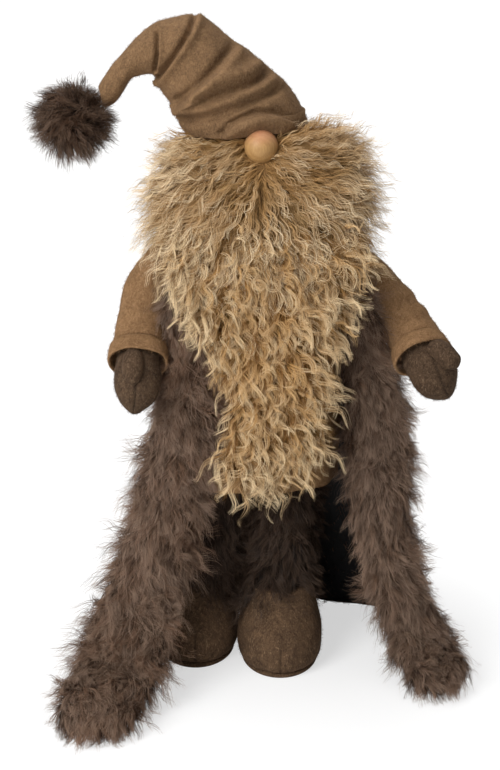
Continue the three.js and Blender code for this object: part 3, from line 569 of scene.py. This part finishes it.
pompom_ground = backing("pompom_ground", (34, 27, 22), (58, 47, 39))
pompom_fibre = pile_fibre("pompom_pile", (28, 20, 15), (62, 45, 34), (100, 80, 65), (84, 59, 42))
rise = np.linspace(0.05 - math.pi / 2, math.pi / 2 - 0.05, 40)[:, None]
angle = once_round(48)[None, :]
level = np.cos(rise)
pompom = np.stack([level * np.cos(angle), level * np.sin(angle), np.sin(rise) + 0 * angle], -1)
pompom = pompom_middle + pompom * 25
pompom_piece = skin("pompom", swell(pompom, lumps(pompom, 14, 3.0, 3)), pompom_ground)
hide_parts("pompom")
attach(pompom_piece, "pompom")
rng = np.random.default_rng(11)
roots, normals, _ = scatter(pompom_piece, 8000, rng)
swirl = np.cross(normals, unit(rng.normal(size=3))) + 0.4 * np.cross(normals, [0.3, 1.0, 0.2])
swirl = unit(swirl + [0, 0, -0.5])
pompom_pile = pile(
    "pompom_pile", roots, normals, swirl, pompom_fibre, rng, long=25, wide=0.6, lock=9, segments=7,
    stand=0.6, lay=0.6, stray=0.42, wave=(2.6, 2.2), turns=(0.7, 1.4), sag=0.3, gather=0.35, curl=0.6,
)
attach(pompom_pile, "pompom")

# The hair is curly blond pile sewn round the head: it parts at the nose, sweeps out over the
# cheeks and falls to the shoulders, and it goes right round the back under the hat.


def eased(count):
    """Shares from 0 to 1, closer together at both ends."""
    return 0.5 - 0.5 * np.cos(np.pi * np.linspace(0, 1, count))


def grade(values, none, full):
    """0 at one value, 1 at the other, and straight between."""
    return np.clip((values - none) / (full - none), 0, 1)


def sweep(stations, rings, count, upright=False, ends=(0.0, 0.0)):
    """Rings of points along a spine of (x, y, z, half width, half depth), its ends rounded over a share."""
    along = eased(rings)
    rows = catmull(stations, along)
    centre, half = rows[:, :3], rows[:, 3:5]
    for share, from_end in ((ends[0], along), (ends[1], 1 - along)):
        if share:
            curve = 1 - np.clip(1 - from_end / share, 0, 1) ** 2
            half = half * np.sqrt(np.clip(curve, 4e-3, 1))[:, None]
    run = np.gradient(centre, axis=0)
    if upright:
        run = np.array([0, 0, 1.0]) * np.sign(run[:, 2:3])
    run = unit(run)
    side = unit(np.array([1.0, 0, 0]) - run * run[:, :1])
    other = np.cross(run, side)
    angle = once_round(count)[None, :, None]
    wide = np.cos(angle) * half[:, None, :1] * side[:, None]
    deep = np.sin(angle) * half[:, None, 1:] * other[:, None]
    return centre[:, None] + wide + deep


def split(name, values, letters):
    """Parts of one size by the rank of values, each with a letter added to the name."""
    part_of = np.argsort(np.argsort(values)) * len(letters) // len(values)
    return [(f"{name}_{letter}", part_of == number) for number, letter in enumerate(letters)]


beard_ground = backing("beard_ground", (84, 60, 35), (120, 90, 55))
hair_fibre = pile_fibre("hair_pile", (82, 57, 31), (128, 96, 57), (174, 141, 95), (142, 104, 58))
hair_curl = pile_fibre("hair_curl", (104, 76, 45), (172, 139, 96), (234, 212, 176), (160, 121, 72))
hair_levels = [
    (8, -20, 468, 68, 62),
    (8, -17, 505, 85, 74),
    (14, -12, 540, 86, 73),
    (15, -3, 566, 73, 64),
    (4, -2, 588, 55, 58),
]
hair = sweep(hair_levels, 40, 72, upright=True, ends=(0.0, 0.06))
hair_piece = skin("hair", swell(hair, lumps(hair, 22, 2.0, 4)), beard_ground)
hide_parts("head", "face_hair", "back_hair")
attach(hair_piece, "figure")


def parting(points):
    """Hair parts under the nose, sweeps out over the cheeks and falls, and beside the hat it rises."""
    away = points - [11, -60, 580]
    sway = np.array([noise.noise(point / 9) for point in points])
    away[:, 0] += 12 * np.tanh((away[:, 0] + 10 * sway) / 7)
    away[:, 2] += np.where(points[:, 0] < 0, 0.13, 0.04) * points[:, 0]
    away[:, 1] *= 0.3
    far = np.linalg.norm(away, axis=1, keepdims=True)
    rise = grade(points[:, 2:], 554, 576) * grade(points[:, 1:2], 0, -30)
    lift = rise * 0.24 * grade(np.abs(points[:, :1] - 11), 34, 50)
    fall = np.array([0, 0, -1.0]) * (0.12 + far / 150) * (1 - rise)
    return unit(unit(away) * [1.3, 1.0, 0.7] + fall + np.array([0, -0.9, 1.0]) * lift)


def under_hat(points, normals):
    """Hair grows below the hem of the hat, thicker along its front and thinner at the back."""
    hem = 583 + np.clip(points[:, 0], -60, 60) * 0.05 + 3 * bell(points[:, 0] - 11, 26)
    fringe = np.where((points[:, 1] < -20) & (points[:, 2] > 562), 2.2, 1.0)
    return grade(hem - points[:, 2], 0, 5) * np.where(points[:, 1] < 20, fringe, 0.6)


rng = np.random.default_rng(21)
short_hair = dict(long=38, lock=9, segments=7, wave=(2.2, 1.5), turns=(1.0, 2.0), gather=0.4)
long_hair = dict(long=54, bunch=6, wide=0.8, segments=16, wave=(3.4, 2.8), turns=(1.9, 3.2), gather=0.6)
for kind, amount, fibre, look in (
    ("hair_pile", 18000, hair_fibre, short_hair),
    ("hair_curl", 1900, hair_curl, long_hair),
):
    roots, normals, _ = scatter(hair_piece, amount, rng, weight=under_hat)
    beside_nose = np.linalg.norm((roots - [11, -62, 578]) * [1, 0.5, 1], axis=1) > 13
    roots, normals = roots[beside_nose], normals[beside_nose]
    from_nose = np.linalg.norm(roots - [11, -66, 576], axis=1)
    near_nose = np.clip(from_nose / 45, 0.62, 1)
    # Roots near the nose are seen, so their strands leave out the dark root's painted shade.
    unshaded = 0.22 * grade(from_nose, 55, 15)
    golden = 0.9 - 0.44 * grade(from_nose, 30, 115)
    for name, part in split(kind, roots[:, 1], "abc"):
        piece = pile(
            name, roots[part], normals[part], parting(roots[part]), fibre, rng, stand=0.42, lay=0.9,
            stray=0.27, sag=0.35, curl=0.3, shorter=near_nose[part], fair=unshaded[part],
            tone=golden[part], **look,
        )
        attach(piece, "figure")

# The beard is a flap of the same curly pile, sewn on at the chin and hanging free in front of
# the tunic, wide at the cheeks and tapering to a point.
beard_fibre = pile_fibre("beard_pile", (50, 32, 15), (98, 68, 35), (144, 108, 62), (134, 90, 44))
beard_curl = pile_fibre("beard_curl", (78, 50, 24), (160, 121, 73), (232, 208, 168), (188, 144, 86))
beard_levels = [
    (14, -72, 508, 84, 9), (16, -78, 476, 86, 11), (17, -82, 430, 67, 11), (24, -84, 378, 46, 11),
    (27, -84, 325, 36, 10), (26, -83, 290, 36, 9), (14, -82, 266, 32, 7), (4, -81, 250, 19, 5),
]
beard = sweep(beard_levels, 60, 64, upright=True, ends=(0.03, 0.04))
beard_piece = skin("beard", swell(beard, lumps(beard, 20, 1.5, 5)), beard_ground)
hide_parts("beard")
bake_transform(beard_piece)


def front_first(points, normals):
    """Most of the beard's pile grows on its front."""
    return np.where(normals[:, 1] < 0.25, 1.0, 0.22)


rng = np.random.default_rng(31)
short_beard = dict(long=30, lock=8, segments=7, wave=(2.8, 2.2), turns=(1.0, 1.8), gather=0.45)
long_beard = dict(long=44, bunch=9, wide=0.8, segments=14, wave=(4.8, 4.2), turns=(1.2, 2.2), gather=0.72,
                  spread=1.3, loose=0.2)
for kind, amount, fibre, look in (
    ("beard_pile", 14000, beard_fibre, short_beard),
    ("beard_curl", 1350, beard_curl, long_beard),
):
    roots, normals, _ = scatter(beard_piece, amount, rng, weight=front_first)
    fan = (roots[:, 0] - 14) / 100
    fall = unit(np.stack([fan * 0.5, np.zeros(len(roots)), -np.ones(len(roots))], 1))
    longer = 1 + 0.15 * grade(roots[:, 2], 300, 260)
    edge = np.clip(np.abs(roots[:, 0] - 18) / (20 + 0.26 * (roots[:, 2] - 240)), 0, 1) ** 2
    golden = 0.84 - 0.46 * np.maximum(edge, grade(roots[:, 2], 310, 260))
    for name, part in split(kind, roots[:, 2], "ab"):
        piece = pile(
            name, roots[part], normals[part], fall[part], fibre, rng, stand=0.4, lay=0.75, stray=0.36,
            sag=0.3, curl=0.5, shorter=longer[part], tone=golden[part], **look,
        )
        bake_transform(piece)

# The tunic is a plain felt smock, pulled over the stuffed body and sewn on at the neck. Only its
# front and hem show, under the beard.
sleeve_felt = felt("sleeve_felt", (94, 68, 43), (147, 114, 81), (182, 151, 117), 0.8, 0.3)
tunic_levels = [
    (16, 3, 462, 45, 39), (17, 5, 434, 95, 49), (14, 9, 350, 85, 59), (9, 12, 270, 89, 63),
    (4, 15, 205, 91, 67),
]
tunic = sweep(tunic_levels, 80, 120, upright=True)
fold = 2.2 * np.cos(9 * once_round(120) + 0.7)[None, :] * (np.linspace(0, 1, 80)[:, None] ** 2)
tunic_piece = skin("tunic", swell(tunic, fold + lumps(tunic, 30, 1.5, 6)), sleeve_felt)
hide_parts("tunic", "torso_stuffing")
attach(tunic_piece, "figure")

# The arms are stuffed felt sleeves with a turned hem, and darker felt mittens: two halves sewn
# together down the middle, with a thumb of their own. A wire inside holds them where they are put.
sleeve_wool = pile_fibre("sleeve_wool", (104, 76, 50), (134, 102, 71), (160, 128, 94), (146, 106, 70))
mitten_wool = pile_fibre("mitten_wool", (52, 39, 28), (80, 63, 48), (112, 92, 74), (92, 69, 50))
mitten_felt = felt("mitten_felt", (42, 30, 21), (88, 69, 52), (136, 115, 94), 0.65)
arms = {
    "left": {
        "sleeve": [
            (-80, -8, 458, 19, 18), (-91, -12, 444, 24, 23), (-106, -20, 420, 25, 24),
            (-112, -32, 394, 25.5, 24.5), (-114, -48, 375, 27, 25.5), (-115, -70, 358, 30, 27),
        ],
        "mitten": [
            (-114, -56, 368, 19, 17), (-115, -70, 358, 22, 20), (-115, -82, 344, 24, 20),
            (-116, -90, 329, 21.5, 17.5), (-119, -93, 309, 13, 11),
        ],
        "thumb": [
            (-118, -76, 374, 8, 8), (-118.5, -90, 364, 11, 9.5), (-118.5, -100, 354, 10, 8.5),
            (-118, -104, 343, 6, 5),
        ],
    },
    "right": {
        "sleeve": [
            (100, -6, 452, 19, 18), (117, -12, 437, 24, 23), (142, -20, 411, 25, 24),
            (159, -32, 391, 26, 25), (170.5, -46, 375, 27.5, 25.5), (178, -66, 362, 30.5, 27),
        ],
        "mitten": [
            (173, -54, 371, 19, 17), (178, -66, 362, 22, 20), (186, -78, 351, 24.5, 20),
            (193, -87, 340, 22.5, 18), (203, -92, 326, 14, 12),
        ],
        "thumb": [
            (183, -72, 376, 9, 9), (194, -84, 373, 11.5, 10.5), (203, -93, 366, 11, 10),
            (209, -97, 359, 7.5, 7),
        ],
    },
}
hem_share = 0.87
for side, seed in (("left", 7), ("right", 9)):
    lines = arms[side]
    sleeve = sweep(lines["sleeve"], 100, 96, ends=(0.1, 0.0))
    out_of_cuff = unit(sleeve[-1].mean(0) - sleeve[-2].mean(0))
    along = eased(100)[:, None]
    angle = once_round(96)[None, :]
    inside_bend = np.clip(np.sin(angle + 0.5), 0, 1)
    wrinkle = 1.5 * np.sin(34 * along + 1.2 * np.cos(angle + seed)) * bell(along - 0.6, 0.16) * inside_bend
    hem_line = bell(along - hem_share, 0.010)
    lip = 1.8 * np.clip((along - hem_share) / 0.03, 0, 1)
    uneven = lumps(sleeve, 24, 1.6, seed) + lumps(sleeve, 7, 0.35, seed)
    sleeve = swell(sleeve, wrinkle - 1.4 * hem_line + lip + uneven)
    middle = sleeve[-1].mean(0)
    lip_rings = [
        middle + (sleeve[-1] - middle) * share + out_of_cuff * out
        for share, out in ((0.985, 1.6), (0.94, 2.2), (0.9, 1.0), (0.87, -8.0), (0.85, -18.0))
    ]
    marks = np.vstack([bell(along - hem_share, 0.007) * np.ones((1, 96)), np.zeros((5, 96))])
    piece = skin("sleeve_" + side, np.vstack([sleeve, np.stack(lip_rings)]), sleeve_felt, marks)
    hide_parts("sleeve_" + side, "cuff_" + side)
    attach(piece, "arm_" + side)
    wool = fuzz(piece, 6000, sleeve_wool, np.random.default_rng(seed))
    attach(wool, "arm_" + side)
    mitten = sweep(lines["mitten"], 70, 96, ends=(0.0, 0.28))
    groove = bell(off_line(angle, np.pi / 2), 0.06) * np.clip((eased(70)[:, None] - 0.4) / 0.2, 0, 1)
    mitten = swell(mitten, -1.6 * groove + lumps(mitten, 16, 1.0, seed + 3))
    piece = skin("mitten_" + side, mitten, mitten_felt, 0.8 * groove)
    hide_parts("mitten_" + side)
    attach(piece, "arm_" + side)
    wool = fuzz(piece, 3000, mitten_wool, np.random.default_rng(seed + 1))
    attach(wool, "arm_" + side)
    thumb = sweep(lines["thumb"], 40, 48, ends=(0.2, 0.3))
    piece = skin("thumb_" + side, swell(thumb, lumps(thumb, 10, 0.6, seed + 5)), mitten_felt)
    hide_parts("thumb_" + side)
    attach(piece, "arm_" + side)

# The boots are felt uppers in two halves with a seam down the toe, over a weighted foot and a
# felt sole. The trousers are short legs of pile on the same ground as the coat's, coloured darker
# than the coat's with painted shade for the coat and beard above them, and their pile hangs over the boots.


def combed(grid):
    """The way along the rings at each point of a skin made from them."""
    run = unit(np.gradient(grid, axis=0))
    return np.vstack([run.reshape(-1, 3), run[0].mean(0), run[-1].mean(0)])


boot_felt = felt("boot_felt", (50, 36, 26), (104, 81, 60), (156, 130, 102), 0.6)
coat_ground = backing("coat_ground", (40, 31, 25), (66, 53, 43))
# The trouser pile's dark colours are painted shade from the coat and beard hanging over the legs.
trouser_shaded_fibre = pile_fibre("trouser_pile", (22, 16, 12), (48, 36, 28), (76, 60, 48), (62, 44, 33))
half_foot, foot_wide, boot_high, sole_thick = 63, 93, 78, 4.3
hip_high, ankle_back = 216, 83
# Each level has a share of the height, how far toe and heel draw in, and a share of the width.
boot_levels = [
    (0, 0.045, 0.03, 0.46), (0.14, 0, 0, 0.5), (0.4, 0.035, 0, 0.5), (0.68, 0.18, 0.02, 0.455),
    (1, 0.36, 0.04, 0.4),
]
sole_levels = [(0, 0.0), (0.6, 1.2), (2.2, 1.7), (3.6, 1.2), (4.4, 0)]
for side, toe, hip, inner, seed in (
    ("left", (-60, -56), (-38, 18), 5, 41),
    ("right", (33, -80), (47, 12), -5, 42),
):
    x, y = toe
    stations = [
        (x, y + half_foot * (1 + tip - heel), sole_thick + boot_high * up, foot_wide * wide,
         half_foot * (1 - heel - tip))
        for up, tip, heel, wide in boot_levels
    ]
    boot = sweep(stations, 70, 144, upright=True)
    angle = once_round(144)[None, :]
    rise = eased(70)[:, None]
    toe_seam = bell(off_line(angle, -np.pi / 2), 0.022) * (1 - np.clip((rise - 0.45) / 0.15, 0, 1))
    heel_seam = bell(off_line(angle, np.pi / 2), 0.022) * np.ones_like(rise)
    tuck = bell(rise, 0.03)
    uneven = lumps(boot, 26, 1.2, 13) + lumps(boot, 8, 0.35, 14)
    boot = swell(boot, -1.0 * toe_seam - 0.8 * heel_seam - 1.6 * tuck + uneven)
    piece = skin("boot_" + side, boot, boot_felt, np.clip(0.7 * toe_seam + 0.6 * heel_seam, 0, 1))
    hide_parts("boot_" + side, "weight_bag_" + side)
    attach(piece, "figure")
    wool = fuzz(piece, 4000, mitten_wool, np.random.default_rng(43))
    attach(wool, "figure")
    sole = [(x, y + half_foot * 1.015, z, 40.5 + grow, 58.3 + grow) for z, grow in sole_levels]
    piece = skin("sole_" + side, sweep(sole, 12, 144, upright=True), boot_felt)
    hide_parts("boot_sole_" + side)
    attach(piece, "figure")
    ankle = y + ankle_back
    leg_levels = [
        (x + (hip[0] - x) * z / hip_high + inner, ankle + (hip[1] - ankle) * z / hip_high, z, 35, 29)
        for z in (214, 180, 140, 100, 66)
    ]
    leg = sweep(leg_levels, 40, 72, upright=True)
    piece = skin("trouser_" + side, leg, coat_ground)
    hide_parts("trouser_leg_" + side)
    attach(piece, "figure")
    rng = np.random.default_rng(seed)
    roots, normals, run = scatter(piece, 12000, rng, flow=combed(leg))
    over_boot = grade(roots[:, 2], 122, 86)
    facing_in = normals[:, 0] * np.sign(inner)
    close = 1 + np.where(facing_in < 0, 0.35, 0.4 * over_boot) * facing_in
    run = run + normals * (0.5 * over_boot)[:, None]
    fur = pile(
        "trouser_pile_" + side, roots, normals, run, trouser_shaded_fibre, rng, long=24, wide=0.6, lock=8,
        segments=6, stand=0.5, lay=0.7, stray=0.36, wave=(2.2, 1.8), turns=(0.8, 1.4), sag=0.4, gather=0.5,
        curl=0.6, shorter=close * (1 + 0.35 * over_boot),
    )
    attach(fur, "figure")

# The coat is long grey-brown pile lined with black satin, open in front. Its two front edges are
# turned back into thick soft rolls that hang from the neck and trail on the floor.
coat_fibre = pile_fibre("coat_pile", (42, 31, 24), (97, 76, 62), (144, 120, 102), (116, 86, 66))
left_front = [
    (-50, 16, 451, 11, 7), (-54, -14, 453, 12, 7), (-60, -36, 440, 15, 8), (-66, -46, 400, 24, 11),
    (-67, -47, 340, 31, 14), (-69, -48, 280, 38, 18), (-80, -52, 225, 39, 21), (-99, -60, 156, 42, 23),
    (-116, -84, 98, 46, 23), (-131, -112, 56, 51, 24), (-145, -150, 31, 53, 24), (-157, -188, 22, 50, 23),
    (-163, -214, 18, 40, 19),
]
right_front = [
    (85, 16, 453, 11, 7), (89, -14, 455, 12, 7), (97, -36, 443, 15, 8), (113, -46, 402, 24, 11),
    (124, -45, 340, 31, 14), (135, -42, 280, 36, 18), (136, -43, 225, 36, 21), (146, -48, 152, 35, 22),
    (161, -54, 94, 35, 23), (181, -62, 52, 39, 23), (195, -88, 28, 45, 23), (203, -120, 19, 42, 21),
]
undercoat = dict(long=24, wide=0.5, lock=18, segments=5, stand=0.36, lay=0.75, stray=0.3, wave=(2.8, 2.0),
                 turns=(0.7, 1.4), sag=0.25, gather=0.52, curl=0.8, tone=0.5)
overcoat = dict(long=42, wide=0.5, bunch=8, spread=1.8, segments=8, stand=0.24, lay=0.85, stray=0.22,
                wave=(4.2, 2.8), turns=(0.9, 1.7), sag=0.2, gather=0.42, curl=0.75, tone=0.6)


def off_floor(points, normals):
    """Little pile grows on what lies on the floor."""
    return np.where(points[:, 2] > 3, 1.0, 0.1)


# The right front's fur is shorter than the left's, and darker by painted shade: its tones are lowered
# so that more of its strands take the shade colour, as that side lies away from the key light.
for side, stations, seed, length, shade in (
    ("left", left_front, 51, 1.0, 0.0),
    ("right", right_front, 52, 0.86, 0.15),
):
    under_fur = []
    for x, y, z, wide, deep in stations:
        fur_wide = (10 if z > 200 else 14) * min(1, wide / 30)
        under_fur.append((x, y, z, wide - fur_wide, deep - min(9, 0.4 * deep)))
    front = sweep(under_fur, 110, 72, ends=(0.0, 0.05))
    front = swell(front, lumps(front, 28, 3.5, seed))
    front[..., 2] = np.maximum(front[..., 2], 2.0)
    piece = skin("coat_front_" + side, front, coat_ground)
    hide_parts("coat_front_" + side, "coat_train_" + side)
    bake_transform(piece)
    rng = np.random.default_rng(seed)
    for kind, amount, letters, look in (
        ("coat_pile", 42000, "abc", undercoat),
        ("coat_lock", 2400, "ab", overcoat),
    ):
        roots, normals, run = scatter(piece, amount, rng, flow=combed(front), weight=off_floor)
        run = unit(run - np.array([0, 0, 0.9]) * grade(roots[:, 2:], 60, 0))
        trimmed = (0.7 + 0.3 * grade(roots[:, 2], 20, 60)) * length
        # Lowering the tone paints shade on the right front.
        look = {**look, "tone": look["tone"] - shade}
        for name, part in split(f"{kind}_{side}", roots[:, 2], letters):
            fur = pile(name, roots[part], normals[part], run[part], coat_fibre, rng,
                       shorter=trimmed[part], **look)
            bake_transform(fur)

# The coat's back is one wide panel of the same pile, sewn to the fronts at the shoulders. It flares
# to the floor in soft folds, and the black satin lining hangs inside it.


def coat_sheet(out, short=0.0):
    """A sheet of the coat's back, that far out from its inner face and that many degrees short of
    its side edges."""
    levels = [
        (16.2, 3.6, 454, 62, 44), (17, 5, 434, 99, 53), (24, 6, 385, 102, 64), (30, 6, 280, 120, 77),
        (24, 6, 140, 141, 106), (22, 6, 0, 178, 134),
    ]
    down = np.linspace(0, 1, 80)
    rows = catmull(levels, down)
    under_arm = np.clip((down - 0.36) / 0.28, 0, 1)
    closed = under_arm**2 * (3 - 2 * under_arm)
    left = np.radians(75 + 40 * closed - short)[:, None]
    right = np.radians(75 + 37 * closed - short)[:, None]
    angle = -left + (left + right) * np.linspace(0, 1, 120)[None, :]
    fold = 8 * (down[:, None] ** 2) * np.cos(7 * angle)
    wide = rows[:, 3:4] + fold + out
    deep = rows[:, 4:5] + fold + out
    across = rows[:, :1] + wide * np.sin(angle)
    behind = rows[:, 1:2] + deep * np.cos(angle)
    return np.stack([across, behind, rows[:, 2:3] + 0 * angle], -1)


def cloth(name, inside, outside, material):
    """A thin piece between an inner and an outer sheet."""
    down, across = inside.shape[:2]
    points = np.vstack([inside.reshape(-1, 3), outside.reshape(-1, 3)])
    index = np.arange(down * across).reshape(down, across)
    half = down * across
    corners = (index[:-1, :-1], index[:-1, 1:], index[1:, 1:], index[1:, :-1])
    faces = []
    for a, b, c, d in zip(*(corner.ravel() for corner in corners)):
        faces += [[a, b, c, d], [half + d, half + c, half + b, half + a]]
    rim = list(index[0]) + list(index[1:, -1]) + list(index[-1, -2::-1]) + list(index[-2:0:-1, 0])
    faces += [[b, a, half + a, half + b] for a, b in zip(rim, rim[1:] + rim[:1])]
    return mesh_piece(name, points, faces, material)


coat_in, coat_out = coat_sheet(0.4), coat_sheet(11.0)
for sheet in (coat_in, coat_out):
    sheet[..., 2] = np.maximum(sheet[..., 2], 1.0)
coat_back = cloth("coat_back", coat_in, coat_out, coat_ground)
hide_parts("coat_back")
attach(coat_back, "figure")
satin, shader, wire = new_material("satin", Specular_IOR_Level=0.5, Anisotropic=0.4)
spot = wire.make("TexCoord", output="Object")
threads = wire.make(
    "TexWave", spot, settings={"wave_type": "BANDS", "bands_direction": "Z"},
    Scale=420.0, Distortion=0.6, output="Fac",
)
wear = wire.make("TexNoise", spot, Scale=24.0, Detail=3.0)
tone = threads * 0.4 + wear.ramp(0.35, 0.7) * 0.6
tone.mix(srgb(3, 3, 3), srgb(11, 10, 11)).into(shader["Base Color"])
(0.3 + wear * 0.18).into(shader["Roughness"])
wire.make("Bump", Strength=0.15, Distance=0.0004, Height=threads + wear * 3).into(shader["Normal"])
lining_in, lining_out = coat_sheet(-1.9, 4.0), coat_sheet(-0.5, 4.0)
for sheet in (lining_in, lining_out):
    sheet[..., 2] = 4 + sheet[..., 2] * (450 / 454)
lining = cloth("coat_lining", lining_in, lining_out, satin)
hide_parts("coat_lining")
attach(lining, "figure")


def outside_only(points, normals):
    """The coat's pile grows on its outer face, thickest at the hem."""
    away = normals[:, 0] * (points[:, 0] - 22) + normals[:, 1] * (points[:, 1] - 6)
    return np.where(away > 0, 1.0, 0.0) * np.where(points[:, 2] < 60, 1.5, 1.0)


rng = np.random.default_rng(61)
down_coat = np.vstack([unit(np.gradient(sheet, axis=0)).reshape(-1, 3) for sheet in (coat_in, coat_out)])
for kind, amount, look in (
    ("coat_pile", 70000, {**undercoat, "wide": 0.9}),
    ("coat_lock", 4300, {**overcoat, "wide": 0.7}),
):
    roots, normals, run = scatter(coat_back, amount, rng, weight=outside_only, flow=down_coat)
    trimmed = 0.68 + 0.32 * grade(roots[:, 2], 30, 110)
    for name, part in split(kind + "_back", roots[:, 2], "abcd"):
        fur = pile(name, roots[part], normals[part], run[part], coat_fibre, rng,
                   shorter=trimmed[part], **look)
        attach(fur, "figure")

# What is held inside keeps its solids: wooden dowels in the legs, pressed boards in the boots, and
# steel wires sewn into the arms and the hat's tip.
steel, shader, wire = new_material("wire_steel", Metallic=1.0)
drawn = wire.make("TexNoise", wire.make("TexCoord", output="Object"), Scale=900.0, Detail=2.0)
drawn.mix(srgb(120, 120, 122), srgb(176, 176, 178)).into(shader["Base Color"])
(0.3 + drawn * 0.2).into(shader["Roughness"])
board, shader, wire = new_material("board", Roughness=0.85)
flecks = wire.make("TexNoise", wire.make("TexCoord", output="Object"), Scale=400.0, Detail=4.0)
flecks.ramp(0.3, 0.7).mix(srgb(132, 104, 72), srgb(176, 144, 104)).into(shader["Base Color"])
dowel_wood, shader, wire = new_material("dowel_wood", Roughness=0.6)
stretch = wire.make("Mapping", wire.make("TexCoord", output="Object"), Scale=(1, 1, 0.06))
streaks = wire.make("TexNoise", stretch, Scale=300.0, Detail=3.0)
streaks.mix(srgb(178, 138, 92), srgb(214, 180, 132)).into(shader["Base Color"])
held = {
    "arm_wire_left": steel, "arm_wire_right": steel, "hat_tip_wire": steel, "insole_board_left": board,
    "insole_board_right": board, "leg_dowel_left": dowel_wood, "leg_dowel_right": dowel_wood,
}
for name, material in held.items():
    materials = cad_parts[name].data.materials
    materials.clear()
    materials.append(material)
